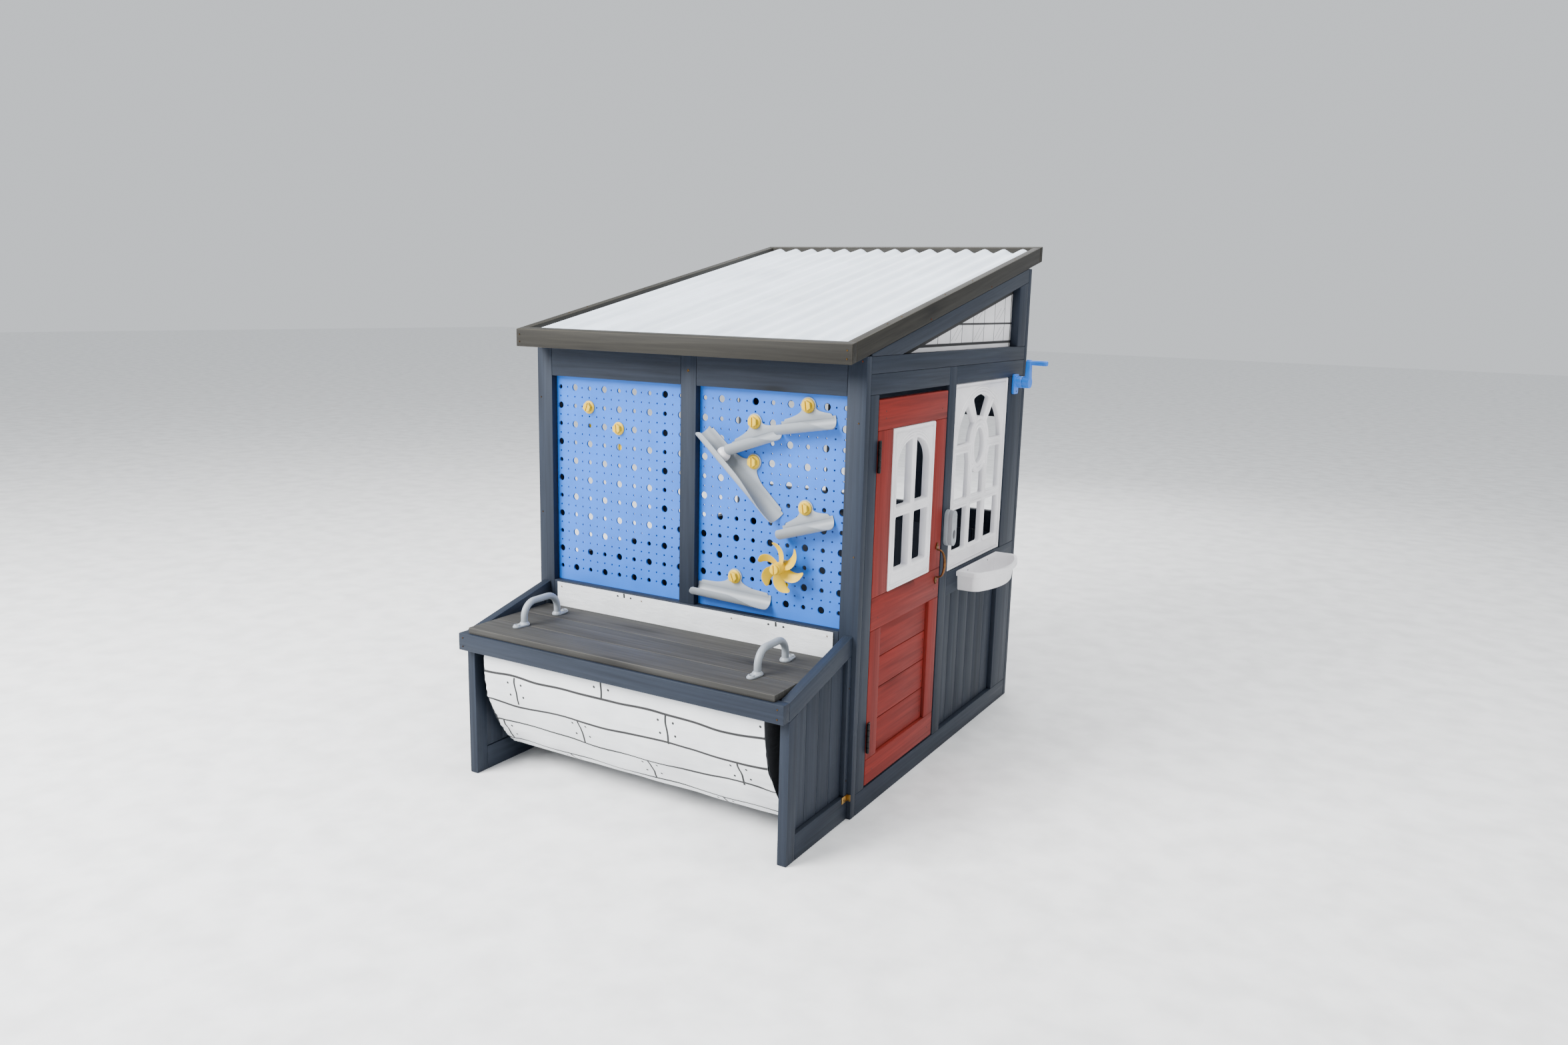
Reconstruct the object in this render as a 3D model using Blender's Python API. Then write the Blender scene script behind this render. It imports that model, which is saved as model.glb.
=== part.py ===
"""Playhouse with a marble-run front wall, a hinged side door and a toy bin.

Frame: +Z up. The origin is on the ground, under the middle of the whole
object. The pegboard wall and the toy bin face -Y, the door side faces +X.
Sizes are in metres. Most pieces are placed in "house" coordinates, whose
origin is at the ground in the middle of the front wall's outer face; the
function world() moves them to the object's own origin.
"""

import math

import bmesh
import bpy
from mathutils import Matrix, Vector

# ---------------------------------------------------------------- house shell
HALF_W = 0.525            # half the width over the side walls
DEPTH = 1.186             # front face of the front wall to back face of the back wall
BOARD = 0.026             # thickness of every frame board
POST = 0.053              # width of a frame post
GAP = 0.0003              # clearance left between two pieces that touch
WALL_H = 1.154            # top of the side walls, where the gables stand
OPENING_TOP = 1.102       # head of the door and window openings
BASE_RAIL = 0.060         # height of the bottom rails
BACK_INNER = DEPTH - BOARD

# ----------------------------------------------------------------------- roof
ROOF_FRONT_Z = 1.198      # underside of the roof frame over the front wall face
ROOF_SLOPE = math.tan(math.radians(12.0))
ROOF_H = 0.049            # upright height of the roof boards
ROOF_FRONT_Y = -0.085     # front face of the front roof board
ROOF_BACK_Y = 1.281       # back face of the back roof board
WAVES = 15                # waves across the corrugated sheet
WAVE_H = 0.014            # trough to crest
WAVE_STEPS = 6            # facets to a wave
SHEET_T = 0.0016

# ------------------------------------------------------------------ pegboards
PEG_Y = 0.0215            # front face of the boards, set back in the front frame
PEG_T = 0.005
PEG_LOW = 0.5013
PEG_HIGH = 1.098
CENTRE_HALF = 0.025       # half the width of the middle post
PITCH = 0.0525            # spacing of the large holes, both ways
PEG_COLUMNS = 9
PEG_ROWS = 11
FIRST_ROW_Z = 1.067
RIGHT_FIRST_X = 0.0399    # first column of the right board
LEFT_FIRST_X = -0.4582    # first column of the left board
BIG_R = 0.0110
MEDIUM_R = 0.0088

# ------------------------------------------------------------------ right wall
SIDE_X = HALF_W - BOARD   # inner face of the side walls
DOOR_FRONT = 0.0745       # door opening, front and back edges
DOOR_BACK = 0.531
WINDOW_FRONT = 0.584
WINDOW_BACK = 1.032
SILL_TOP = 0.548
SILL_LOW = 0.478

# ------------------------------------------------------------------------ bin
BIN_FRONT = -0.313        # front edge of the side panels
BIN_OUTER = 0.513         # outer face of the side panels
BIN_INNER = BIN_OUTER - BOARD
BIN_RAIL_LOW = 0.366
BIN_RAIL_TOP = 0.414
BIN_RAIL_Y = -0.344
BIN_WALL_Z = 0.495        # height of the side panels where they meet the wall
SLING_HALF = 0.458
SLING_T = 0.004
SLING_R = 0.150           # radius of the hanging bottom
SLING_LOW = 0.050

OBJECT_X = (-HALF_W + 0.640) / 2.0
OBJECT_Y = (BIN_RAIL_Y + ROOF_BACK_Y) / 2.0


def world(x, y, z):
    """House coordinates to the object's own frame."""
    return Vector((x - OBJECT_X, y - OBJECT_Y, z))


# ---------------------------------------------------------------- foundations
def clear_scene():
    for obj in list(bpy.data.objects):
        bpy.data.objects.remove(obj, do_unlink=True)


def finish(name, colour, roughness, metallic=0.0):
    """A plain Principled material."""
    material = bpy.data.materials.new(name)
    material.use_nodes = True
    shader = material.node_tree.nodes["Principled BSDF"]
    shader.inputs["Base Color"].default_value = (*colour, 1.0)
    shader.inputs["Roughness"].default_value = roughness
    shader.inputs["Metallic"].default_value = metallic
    return material


def add_mesh(name, bm, material, pivot=(0.0, 0.0, 0.0), smooth=False):
    """Put a bmesh in house coordinates into the scene, its origin at pivot."""
    origin = Vector(pivot)
    bmesh.ops.translate(bm, verts=bm.verts, vec=-origin)
    bmesh.ops.recalc_face_normals(bm, faces=bm.faces)
    mesh = bpy.data.meshes.new(name)
    bm.to_mesh(mesh)
    bm.free()
    if smooth:
        mesh.shade_smooth()
        mesh.set_sharp_from_angle(angle=math.radians(35.0))
    obj = bpy.data.objects.new(name, mesh)
    obj.location = world(*origin)
    if material is not None:
        obj.data.materials.append(material)
    bpy.context.scene.collection.objects.link(obj)
    return obj


def add_box(bm, low, high):
    """Add a box between two corners."""
    size = Vector(high) - Vector(low)
    centre = (Vector(high) + Vector(low)) / 2.0
    matrix = Matrix.Translation(centre) @ Matrix.Diagonal((*size, 1.0))
    bmesh.ops.create_cube(bm, size=1.0, matrix=matrix)


def board(name, low, high, material):
    bm = bmesh.new()
    add_box(bm, low, high)
    return add_mesh(name, bm, material)


def add_prism(bm, outline, axis, low, high):
    """Extrude a closed 2D outline along axis 'x', 'y' or 'z'."""
    def point(pair, along):
        first, second = pair
        if axis == "x":
            return (along, first, second)
        if axis == "y":
            return (first, along, second)
        return (first, second, along)

    bottom = [bm.verts.new(point(pair, low)) for pair in outline]
    top = [bm.verts.new(point(pair, high)) for pair in outline]
    count = len(outline)
    bm.faces.new(bottom)
    bm.faces.new(list(reversed(top)))
    for i in range(count):
        j = (i + 1) % count
        bm.faces.new((bottom[i], top[i], top[j], bottom[j]))


def prism(name, outline, axis, low, high, material, smooth=False):
    bm = bmesh.new()
    add_prism(bm, outline, axis, low, high)
    return add_mesh(name, bm, material, smooth=smooth)


def circle(centre, radius, count, start=0.0):
    """Points round a circle."""
    points = []
    for i in range(count):
        angle = start + 2.0 * math.pi * i / count
        points.append((centre[0] + radius * math.cos(angle), centre[1] + radius * math.sin(angle)))
    return points


def arc(centre, radius_a, radius_b, start, end, count):
    """Points along an elliptical arc, angles in degrees."""
    points = []
    for i in range(count + 1):
        angle = math.radians(start + (end - start) * i / count)
        points.append((centre[0] + radius_a * math.cos(angle), centre[1] + radius_b * math.sin(angle)))
    return points


def helper(name, bm):
    """A cutter or a tool body, left out of the model itself."""
    obj = add_mesh(name, bm, None)
    obj.hide_render = True
    obj.display_type = 'WIRE'
    return obj


def boolean(target, tool, operation):
    modifier = target.modifiers.new(operation.lower(), 'BOOLEAN')
    modifier.operation = operation
    modifier.solver = 'EXACT'
    modifier.object = tool


def roof_z(y):
    """Underside of the roof frame at house depth y."""
    return ROOF_FRONT_Z + ROOF_SLOPE * y


def peg_hole(side, column, row):
    """Centre of a large pegboard hole: side is 'left' or 'right'."""
    first = LEFT_FIRST_X if side == "left" else RIGHT_FIRST_X
    return (first + PITCH * column, FIRST_ROW_Z - PITCH * row)


# ----------------------------------------------------------------- front wall
def front_wall(stain, sky):
    top = ROOF_FRONT_Z - GAP
    board("front_post_left", (-HALF_W, 0.0, 0.0), (-HALF_W + POST, BOARD, top), stain)
    board("front_post_right", (HALF_W - POST, 0.0, 0.0), (HALF_W, BOARD, top), stain)
    board("front_post_center", (-CENTRE_HALF, 0.0, PEG_LOW + GAP), (CENTRE_HALF, BOARD, top), stain)
    inner = HALF_W - POST - GAP
    centre = CENTRE_HALF + GAP
    board("front_top_rail_left", (-inner, 0.0, PEG_HIGH + GAP), (-centre, BOARD, top), stain)
    board("front_top_rail_right", (centre, 0.0, PEG_HIGH + GAP), (inner, BOARD, top), stain)
    board("front_mid_rail", (-inner, 0.0, 0.420), (inner, BOARD, PEG_LOW), stain)
    board("front_lower_panel", (-inner, 0.008, 0.0), (inner, BOARD - 0.004, 0.420 - GAP), stain)
    pegboard("pegboard_left", -inner, -centre, "left", sky)
    pegboard("pegboard_right", centre, inner, "right", sky)


def pegboard(name, low_x, high_x, side, material):
    """A thin board with a checkerboard of larger and smaller round holes."""
    low = (low_x, PEG_Y, PEG_LOW + GAP)
    high = (high_x, PEG_Y + PEG_T, PEG_HIGH - GAP)
    plate = board(name, low, high, material)
    cutters = bmesh.new()
    for column in range(PEG_COLUMNS):
        for row in range(PEG_ROWS):
            centre = peg_hole(side, column, row)
            radius = BIG_R if (column + row) % 2 else MEDIUM_R
            if centre[0] + radius > high_x - 0.002:
                continue
            outline = circle(centre, radius, 6)
            add_prism(cutters, outline, "y", PEG_Y - 0.01, PEG_Y + PEG_T + 0.01)
    boolean(plate, helper(name + ".holes", cutters), 'DIFFERENCE')


# ----------------------------------------------------------------- side walls
def right_wall(stain, white):
    low = BOARD + GAP
    back = BACK_INNER - GAP
    x0, x1 = SIDE_X, HALF_W
    top = OPENING_TOP
    board("right_front_stile", (x0, low, BASE_RAIL + GAP), (x1, DOOR_FRONT, top), stain)
    board("right_mid_stile", (x0, DOOR_BACK, BASE_RAIL + GAP), (x1, WINDOW_FRONT, top), stain)
    board("right_back_stile", (x0, WINDOW_BACK, BASE_RAIL + GAP), (x1, back, top), stain)
    board("right_bottom_rail", (x0, low, 0.0), (x1, back, BASE_RAIL), stain)
    board("right_top_rail", (x0, low, top + GAP), (x1, back, WALL_H - GAP), stain)
    bay = (WINDOW_FRONT + GAP, WINDOW_BACK - GAP)
    board("right_sill_rail", (x0, bay[0], SILL_LOW), (x1, bay[1], SILL_TOP), stain)
    board("right_lower_panel", (x0, bay[0], BASE_RAIL + GAP), (x1 - 0.014, bay[1], SILL_LOW - GAP), stain)
    window_insert(white)


def window_insert(material):
    """Moulded plastic window: an arch over a ring, bars and open panes."""
    front, back = WINDOW_FRONT + GAP, WINDOW_BACK - GAP
    low, high = SILL_TOP + GAP, OPENING_TOP - GAP
    x0, x1 = HALF_W - 0.022, HALF_W - 0.004
    middle = (front + back) / 2.0
    plate = board("window_insert", (x0, front, low), (x1, back, high), material)
    cutters = bmesh.new()
    ring_z = 0.905
    bar = 0.013
    for side in (-1.0, 1.0):
        outer = middle + side * 0.186
        inner = middle + side * (0.063 + bar)
        for pane in ((0.600, 0.728), (0.754, ring_z - bar)):
            outline = [(outer, pane[0]), (inner, pane[0]), (inner, pane[1]), (outer, pane[1])]
            if pane[1] > 0.8:
                nub = middle + side * 0.068
                outline = [(outer, pane[0]), (inner, pane[0]), (inner, 0.862)]
                outline += [(nub + side * 0.016, ring_z - bar), (outer, pane[1])]
            add_prism(cutters, outline, "x", x0 - 0.01, x1 + 0.01)
        outline = arch_side_pane(middle, side, ring_z + bar)
        add_prism(cutters, outline, "x", x0 - 0.01, x1 + 0.01)
    centre_half = 0.063 - bar
    lower = [(middle - centre_half, 0.600), (middle + centre_half, 0.600)]
    lower += [(middle + centre_half, 0.728), (middle - centre_half, 0.728)]
    add_prism(cutters, lower, "x", x0 - 0.01, x1 + 0.01)
    under = [(middle - centre_half, 0.754), (middle + centre_half, 0.754)]
    under += arc((middle, ring_z), 0.070, 0.084, -45.0, -135.0, 4)
    add_prism(cutters, under, "x", x0 - 0.01, x1 + 0.01)
    hole = arc((middle, ring_z), 0.042, 0.054, 0.0, 337.5, 15)
    add_prism(cutters, hole, "x", x0 - 0.01, x1 + 0.01)
    top_pane = arc((middle, ring_z), 0.166, 0.156, 68.0, 112.0, 4)
    top_pane += arc((middle, ring_z), 0.070, 0.084, 112.0, 68.0, 2)
    add_prism(cutters, top_pane, "x", x0 - 0.01, x1 + 0.01)
    boolean(plate, helper("window_insert.panes", cutters), 'DIFFERENCE')


def arch_side_pane(middle, side, base):
    """Outline of the pane between the arch, a radial bar and the upper bar."""
    right = arc((middle, base - 0.013), 0.186, 0.156, 5.0, 56.0, 5)
    right += arc((middle, base - 0.013), 0.070, 0.084, 52.0, 9.0, 3)
    if side > 0.0:
        return right
    return [(2.0 * middle - y, z) for y, z in right]


def left_wall(stain):
    """Factory-made wall panel: two open windows over a boarded lower half."""
    low, back = BOARD + GAP, BACK_INNER - GAP
    wall = board("left_wall", (-HALF_W, low, 0.0), (-SIDE_X, back, WALL_H - GAP), stain)
    cutters = bmesh.new()
    middle = (low + back) / 2.0
    for front, rear in ((0.090, middle - POST / 2.0), (middle + POST / 2.0, 1.080)):
        add_box(cutters, (-HALF_W - 0.01, front, SILL_TOP), (-SIDE_X + 0.01, rear, OPENING_TOP))
    add_box(cutters, (-HALF_W - 0.01, 0.090, BASE_RAIL), (-HALF_W + 0.014, 1.080, SILL_LOW))
    boolean(wall, helper("left_wall.openings", cutters), 'DIFFERENCE')


def back_wall(stain):
    """Factory-made wall panel: three open windows over a boarded lower half."""
    top = roof_z(BACK_INNER) - GAP
    wall = board("back_wall", (-HALF_W, BACK_INNER, 0.0), (HALF_W, DEPTH, top), stain)
    cutters = bmesh.new()
    for low_x, high_x in ((-0.455, -0.195), (-0.145, 0.145), (0.195, 0.455)):
        add_box(cutters, (low_x, BACK_INNER - 0.01, 0.640), (high_x, DEPTH + 0.01, 0.960))
    add_box(cutters, (-0.455, DEPTH - 0.014, BASE_RAIL), (0.455, DEPTH + 0.01, 0.570))
    boolean(wall, helper("back_wall.openings", cutters), 'DIFFERENCE')


# --------------------------------------------------------------------- gables
def gable_outline():
    low, back = BOARD + GAP, BACK_INNER - GAP
    return [(low, WALL_H), (back, WALL_H), (back, roof_z(back) - GAP), (low, roof_z(low) - GAP)]


def right_gable(stain, cloth):
    """Triangular frame on the door side, with a printed panel behind it."""
    frame = prism("gable_frame_right", gable_outline(), "x", SIDE_X, HALF_W, stain)
    cutter = bmesh.new()
    add_prism(cutter, gable_opening(0.0), "x", SIDE_X - 0.01, HALF_W + 0.01)
    boolean(frame, helper("gable_frame_right.opening", cutter), 'DIFFERENCE')
    rear = SIDE_X - GAP
    prism("gable_panel_right", gable_opening(0.012), "x", rear - 0.002, rear, cloth)


def left_gable(stain):
    """Factory-made gable with a closed panel set back in its frame."""
    frame = prism("gable_left", gable_outline(), "x", -HALF_W, -SIDE_X, stain)
    cutter = bmesh.new()
    add_prism(cutter, gable_opening(0.0), "x", -HALF_W - 0.01, -SIDE_X - 0.004)
    boolean(frame, helper("gable_left.recess", cutter), 'DIFFERENCE')


def gable_opening(margin):
    """Triangle inside a gable's three boards, grown by a margin."""
    base = WALL_H + 0.043 - margin
    rear = 1.086 + margin
    line = WALL_H + margin
    front = (base - line) / ROOF_SLOPE - margin
    return [(front, base), (rear, base), (rear, line + ROOF_SLOPE * rear)]


# ----------------------------------------------------------------------- roof
def roof(stain, sheet):
    front_inner = ROOF_FRONT_Y + BOARD
    back_inner = ROOF_BACK_Y - BOARD
    inner = HALF_W - BOARD - GAP
    roof_piece("roof_board_front", -HALF_W, HALF_W, ROOF_FRONT_Y, front_inner, 0.0, ROOF_H, stain)
    roof_piece("roof_board_back", -HALF_W, HALF_W, back_inner, ROOF_BACK_Y, 0.0, ROOF_H, stain)
    span = (front_inner + GAP, back_inner - GAP)
    roof_piece("roof_board_left", -HALF_W, -inner - GAP, span[0], span[1], 0.0, ROOF_H, stain)
    roof_piece("roof_board_right", inner + GAP, HALF_W, span[0], span[1], 0.0, ROOF_H, stain)
    below_sheet = ROOF_H - WAVE_H - SHEET_T - 0.005
    roof_piece("roof_purlin", -inner, inner, 0.560, 0.600, 0.004, below_sheet, stain)
    corrugated_sheet(span, sheet)


def roof_piece(name, x0, x1, y0, y1, low, high, material):
    """A board that follows the roof's slope between two heights above its underside."""
    outline = [(y0, roof_z(y0) + low), (y1, roof_z(y1) + low)]
    outline += [(y1, roof_z(y1) + high), (y0, roof_z(y0) + high)]
    prism(name, outline, "x", x0, x1, material)


def corrugated_sheet(span, material):
    bm = bmesh.new()
    half = HALF_W - BOARD - GAP
    steps = WAVES * WAVE_STEPS
    middle = ROOF_H - 0.004 - WAVE_H / 2.0
    upper = []
    lower = []
    for i in range(steps + 1):
        x = -half + 2.0 * half * i / steps
        wave = -math.cos(2.0 * math.pi * WAVES * i / steps) * WAVE_H / 2.0
        for row, drop in ((upper, 0.0), (lower, -SHEET_T)):
            height = middle + wave + drop
            row.append([bm.verts.new((x, y, roof_z(y) + height)) for y in span])
    for i in range(steps):
        bm.faces.new((upper[i][0], upper[i + 1][0], upper[i + 1][1], upper[i][1]))
        bm.faces.new((lower[i][0], lower[i][1], lower[i + 1][1], lower[i + 1][0]))
        bm.faces.new((upper[i][0], lower[i][0], lower[i + 1][0], upper[i + 1][0]))
        bm.faces.new((upper[i][1], upper[i + 1][1], lower[i + 1][1], lower[i][1]))
    for i in (0, steps):
        bm.faces.new((upper[i][0], upper[i][1], lower[i][1], lower[i][0]))
    add_mesh("roof_sheet", bm, material, smooth=True)


# ----------------------------------------------------------------------- door
DOOR_Y = (0.077, 0.523)
DOOR_Z = (0.066, 1.088)
INSERT_Y = (0.168, 0.440)
INSERT_Z = (0.579, 1.009)
HINGE_AXIS = (HALF_W + 0.006, 0.0755)
KNUCKLE_R = 0.0045


def door(stain, white, black, bronze):
    pivot = (HINGE_AXIS[0], HINGE_AXIS[1], DOOR_Z[0])
    bm = bmesh.new()
    add_box(bm, (SIDE_X, DOOR_Y[0], DOOR_Z[0]), (HALF_W, DOOR_Y[1], DOOR_Z[1]))
    leaf = add_mesh("door_leaf", bm, stain, pivot)
    cutters = bmesh.new()
    window_low = (SIDE_X - 0.01, INSERT_Y[0] - GAP, INSERT_Z[0] - GAP)
    add_box(cutters, window_low, (HALF_W + 0.01, INSERT_Y[1] + GAP, INSERT_Z[1] + GAP))
    add_box(cutters, (HALF_W - 0.009, 0.141, 0.137), (HALF_W + 0.01, 0.459, 0.490))
    boolean(leaf, helper("door_leaf.openings", cutters), 'DIFFERENCE')
    door_insert(white, pivot)
    for name, low in (("door_hinge_lower", 0.160), ("door_hinge_upper", 0.905)):
        hinge(name, low, black, pivot)
    pull_handle(bronze, pivot)


def door_insert(material, pivot):
    """Moulded arch-top window with four open panes."""
    x0, x1 = HALF_W - 0.020, HALF_W + 0.003
    bm = bmesh.new()
    add_box(bm, (x0, INSERT_Y[0], INSERT_Z[0]), (x1, INSERT_Y[1], INSERT_Z[1]))
    plate = add_mesh("door_insert", bm, material, pivot)
    cutters = bmesh.new()
    middle = (INSERT_Y[0] + INSERT_Y[1]) / 2.0
    for side in (-1.0, 1.0):
        near = middle + side * 0.012
        far = middle + side * 0.106
        lower = [(near, 0.628), (far, 0.628), (far, 0.773), (near, 0.773)]
        upper = [(near, 0.799), (far, 0.799)]
        crown = arc((middle, 0.905), 0.106, 0.070, 0.0, 83.0, 5)
        upper += [(middle + side * (y - middle), z) for y, z in crown]
        add_prism(cutters, lower, "x", x0 - 0.01, x1 + 0.01)
        add_prism(cutters, upper, "x", x0 - 0.01, x1 + 0.01)
    boolean(plate, helper("door_insert.panes", cutters), 'DIFFERENCE')


def hinge(name, low, material, pivot):
    """Surface hinge: its knuckle and the leaf screwed to the door's face."""
    height = 0.081
    bm = bmesh.new()
    face = HALF_W + GAP
    add_box(bm, (face, HINGE_AXIS[1] + 0.002, low), (face + 0.0025, HINGE_AXIS[1] + 0.018, low + height))
    obj = add_mesh(name, bm, material, pivot)
    knuckle = bmesh.new()
    add_prism(knuckle, circle(HINGE_AXIS, KNUCKLE_R, 12), "z", low, low + height)
    boolean(obj, helper(name + ".knuckle", knuckle), 'UNION')


def tube(bm, points, radius, sides):
    """A closed round bar swept along points, its rings square to the path."""
    path = [Vector(p) for p in points]
    rings = []
    normal = None
    for i, point in enumerate(path):
        before = path[max(i - 1, 0)]
        after = path[min(i + 1, len(path) - 1)]
        tangent = (after - before).normalized()
        if normal is None:
            normal = tangent.orthogonal().normalized()
        normal = (normal - tangent * normal.dot(tangent)).normalized()
        side = tangent.cross(normal)
        ring = []
        for k in range(sides):
            angle = 2.0 * math.pi * k / sides
            ring.append(bm.verts.new(point + radius * (math.cos(angle) * normal + math.sin(angle) * side)))
        rings.append(ring)
    for first, second in zip(rings, rings[1:]):
        for k in range(sides):
            n = (k + 1) % sides
            bm.faces.new((first[k], first[n], second[n], second[k]))
    bm.faces.new(list(reversed(rings[0])))
    bm.faces.new(rings[-1])


def pull_handle(material, pivot):
    """Bowed pull, screwed to the door's face at its two ends."""
    y = 0.494
    face = HALF_W + GAP
    bm = bmesh.new()
    points = []
    for i in range(11):
        t = math.pi * i / 10.0
        points.append((face + 0.004 + 0.026 * math.sin(t) ** 0.7, y, 0.595 - 0.048 * math.cos(t)))
    tube(bm, points, 0.0038, 8)
    obj = add_mesh("door_pull", bm, material, pivot, smooth=True)
    feet = bmesh.new()
    for z in (0.542, 0.648):
        add_prism(feet, arc((y, z), 0.008, 0.014, 0.0, 324.0, 9), "x", face, face + 0.004)
    boolean(obj, helper("door_pull.feet", feet), 'UNION')


# ------------------------------------------------------------------ toy bin
def toy_bin(stain, cloth, plank, grey):
    for side, sign in (("left", -1.0), ("right", 1.0)):
        bin_side("bin_side_" + side, sign, stain)
        grab_handle("grab_handle_" + side, sign * 0.375, grey)
    rail_x = BIN_OUTER
    rail_high = (rail_x, BIN_FRONT - GAP, BIN_RAIL_TOP)
    board("bin_front_rail", (-rail_x, BIN_RAIL_Y, BIN_RAIL_LOW), rail_high, stain)
    bin_sling(cloth)
    bm = bmesh.new()
    add_box(bm, (-0.484, -0.336, BIN_RAIL_TOP + GAP), (0.484, -0.017, BIN_RAIL_TOP + 0.018))
    add_mesh("bin_lid", bm, plank, (0.0, -0.1765, BIN_RAIL_TOP + GAP))


def bin_side(name, sign, material):
    """Side panel with a sloping top, a recessed face and a cleat for the lid."""
    outline = [(BIN_FRONT, 0.0), (-GAP, 0.0), (-GAP, BIN_WALL_Z), (BIN_FRONT, BIN_RAIL_TOP)]
    ends = sorted((sign * BIN_INNER, sign * BIN_OUTER))
    obj = prism(name, outline, "x", ends[0], ends[1], material)
    recess = [(BIN_FRONT + 0.042, 0.068), (-0.020, 0.068), (-0.020, 0.436), (BIN_FRONT + 0.042, 0.370)]
    cutter = bmesh.new()
    cut = sorted((sign * (BIN_OUTER - 0.012), sign * (BIN_OUTER + 0.01)))
    add_prism(cutter, recess, "x", cut[0], cut[1])
    boolean(obj, helper(name + ".recess", cutter), 'DIFFERENCE')
    cleat = bmesh.new()
    ends = sorted((sign * 0.464, sign * (BIN_INNER + 0.004)))
    add_box(cleat, (ends[0], -0.300, 0.388), (ends[1], -0.006, BIN_RAIL_TOP))
    boolean(obj, helper(name + ".cleat", cleat), 'UNION')


def bin_sling(material):
    """Canvas tub: it hangs from the wall rail and from the front rail."""
    front, back = BIN_FRONT + GAP + 0.001, -0.0015
    middle = (front + back) / 2.0
    radius = (back - front) / 2.0
    base = SLING_LOW + SLING_R
    bm = bmesh.new()
    outer = [(front, 0.405)] + arc((middle, base), radius, SLING_R, 180.0, 360.0, 12) + [(back, 0.405)]
    add_prism(bm, outer, "x", -SLING_HALF, SLING_HALF)
    obj = add_mesh("bin_sling", bm, material, smooth=True)
    inner = [(front + SLING_T, 0.45)]
    inner += arc((middle, base), radius - SLING_T, SLING_R - SLING_T, 180.0, 360.0, 12)
    inner += [(back - SLING_T, 0.45)]
    cutter = bmesh.new()
    add_prism(cutter, inner, "x", -SLING_HALF + SLING_T, SLING_HALF - SLING_T)
    boolean(obj, helper("bin_sling.inside", cutter), 'DIFFERENCE')
    hem = bmesh.new()
    add_box(hem, (-SLING_HALF + 0.02, back - 0.0018, 0.39), (SLING_HALF - 0.02, back - 0.0001, 0.498))
    boolean(obj, helper("bin_sling.hem", hem), 'UNION')


def grab_handle(name, x, material):
    """Moulded arch with a screw ear at each foot, fixed on the lid."""
    top = BIN_RAIL_TOP + 0.018 + GAP
    feet = (-0.2340, -0.1000)
    middle = (feet[0] + feet[1]) / 2.0
    bend = 0.040
    crown = top + 0.062
    points = [(x, feet[0], top + 0.002)]
    points += [(x, y, z) for y, z in arc((feet[0] + bend, crown - bend), bend, bend, 180.0, 90.0, 4)]
    points += [(x, y, z) for y, z in arc((feet[1] - bend, crown - bend), bend, bend, 90.0, 0.0, 4)]
    points += [(x, feet[1], top + 0.002)]
    bm = bmesh.new()
    tube(bm, points, 0.0095, 10)
    obj = add_mesh(name, bm, material, (x, middle, top), smooth=True)
    ears = bmesh.new()
    for y, sign in ((feet[0], -1.0), (feet[1], 1.0)):
        outline = arc((x, y), 0.0145, 0.0145, 90.0 - 90.0 * sign, 90.0 - 90.0 * sign - 180.0, 6)
        tip = arc((x, y + sign * 0.030), 0.011, 0.011, 180.0, 0.0, 6)
        if sign < 0.0:
            tip = arc((x, y + sign * 0.030), 0.011, 0.011, 0.0, -180.0, 6)
        add_prism(ears, outline + tip, "z", top, top + 0.006)
    boolean(obj, helper(name + ".ears", ears), 'UNION')


# --------------------------------------------------------- side wall fittings
def planter(material):
    """Bow-fronted flower box screwed to the sill rail, open on top."""
    face = HALF_W + GAP
    middle = 0.827
    rim = planter_outline(face, middle, 0.1685, 0.115)
    body = planter_outline(face, middle, 0.158, 0.104)
    inside = planter_outline(face + 0.003, middle, 0.155, 0.098)
    bm = bmesh.new()
    add_prism(bm, body, "z", 0.478, 0.530)
    obj = add_mesh("planter_box", bm, material)
    lip = bmesh.new()
    add_prism(lip, rim, "z", 0.524, 0.540)
    boolean(obj, helper("planter_box.rim", lip), 'UNION')
    hollow = bmesh.new()
    add_prism(hollow, inside, "z", 0.481, 0.560)
    boolean(obj, helper("planter_box.hollow", hollow), 'DIFFERENCE')


def planter_outline(face, middle, half, reach):
    """Flat against the wall, straight short ends and a bowed front."""
    side = reach * 0.62
    points = [(face, middle + half), (face, middle - half)]
    points += arc((face + side - 0.018, middle - half + 0.018), 0.018, 0.018, 270.0, 300.0, 2)
    for i in range(7):
        t = -1.0 + 2.0 * i / 6.0
        bow = side + 0.004 + (reach - side - 0.004) * (1.0 - t * t)
        points.append((face + bow, middle + t * (half - 0.012)))
    mirrored = arc((face + side - 0.018, middle + half - 0.018), 0.018, 0.018, 60.0, 90.0, 2)
    return points + mirrored


def doorbell(grey, dark):
    """Stadium-shaped bell push on the post beside the door."""
    face = HALF_W + GAP
    y, z = 0.5575, 0.690
    outline = arc((y, z + 0.034), 0.019, 0.019, 0.0, 180.0, 8)
    outline += arc((y, z - 0.034), 0.019, 0.019, 180.0, 360.0, 8)
    body = prism("doorbell_body", outline, "x", face, face + 0.026, grey, smooth=True)
    pocket = bmesh.new()
    add_prism(pocket, arc((y, z - 0.018), 0.0085, 0.013, 0.0, 330.0, 11), "x", face + 0.014, face + 0.04)
    boolean(body, helper("doorbell_body.pocket", pocket), 'DIFFERENCE')
    button = bmesh.new()
    add_prism(button, arc((y, z - 0.018), 0.0080, 0.0125, 0.0, 330.0, 11), "x", face + 0.0185, face + 0.028)
    add_mesh("doorbell_button", button, dark, (face + 0.0185, y, z - 0.018), smooth=True)


CRANK_Y = 1.074
CRANK_Z = 1.086


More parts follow.
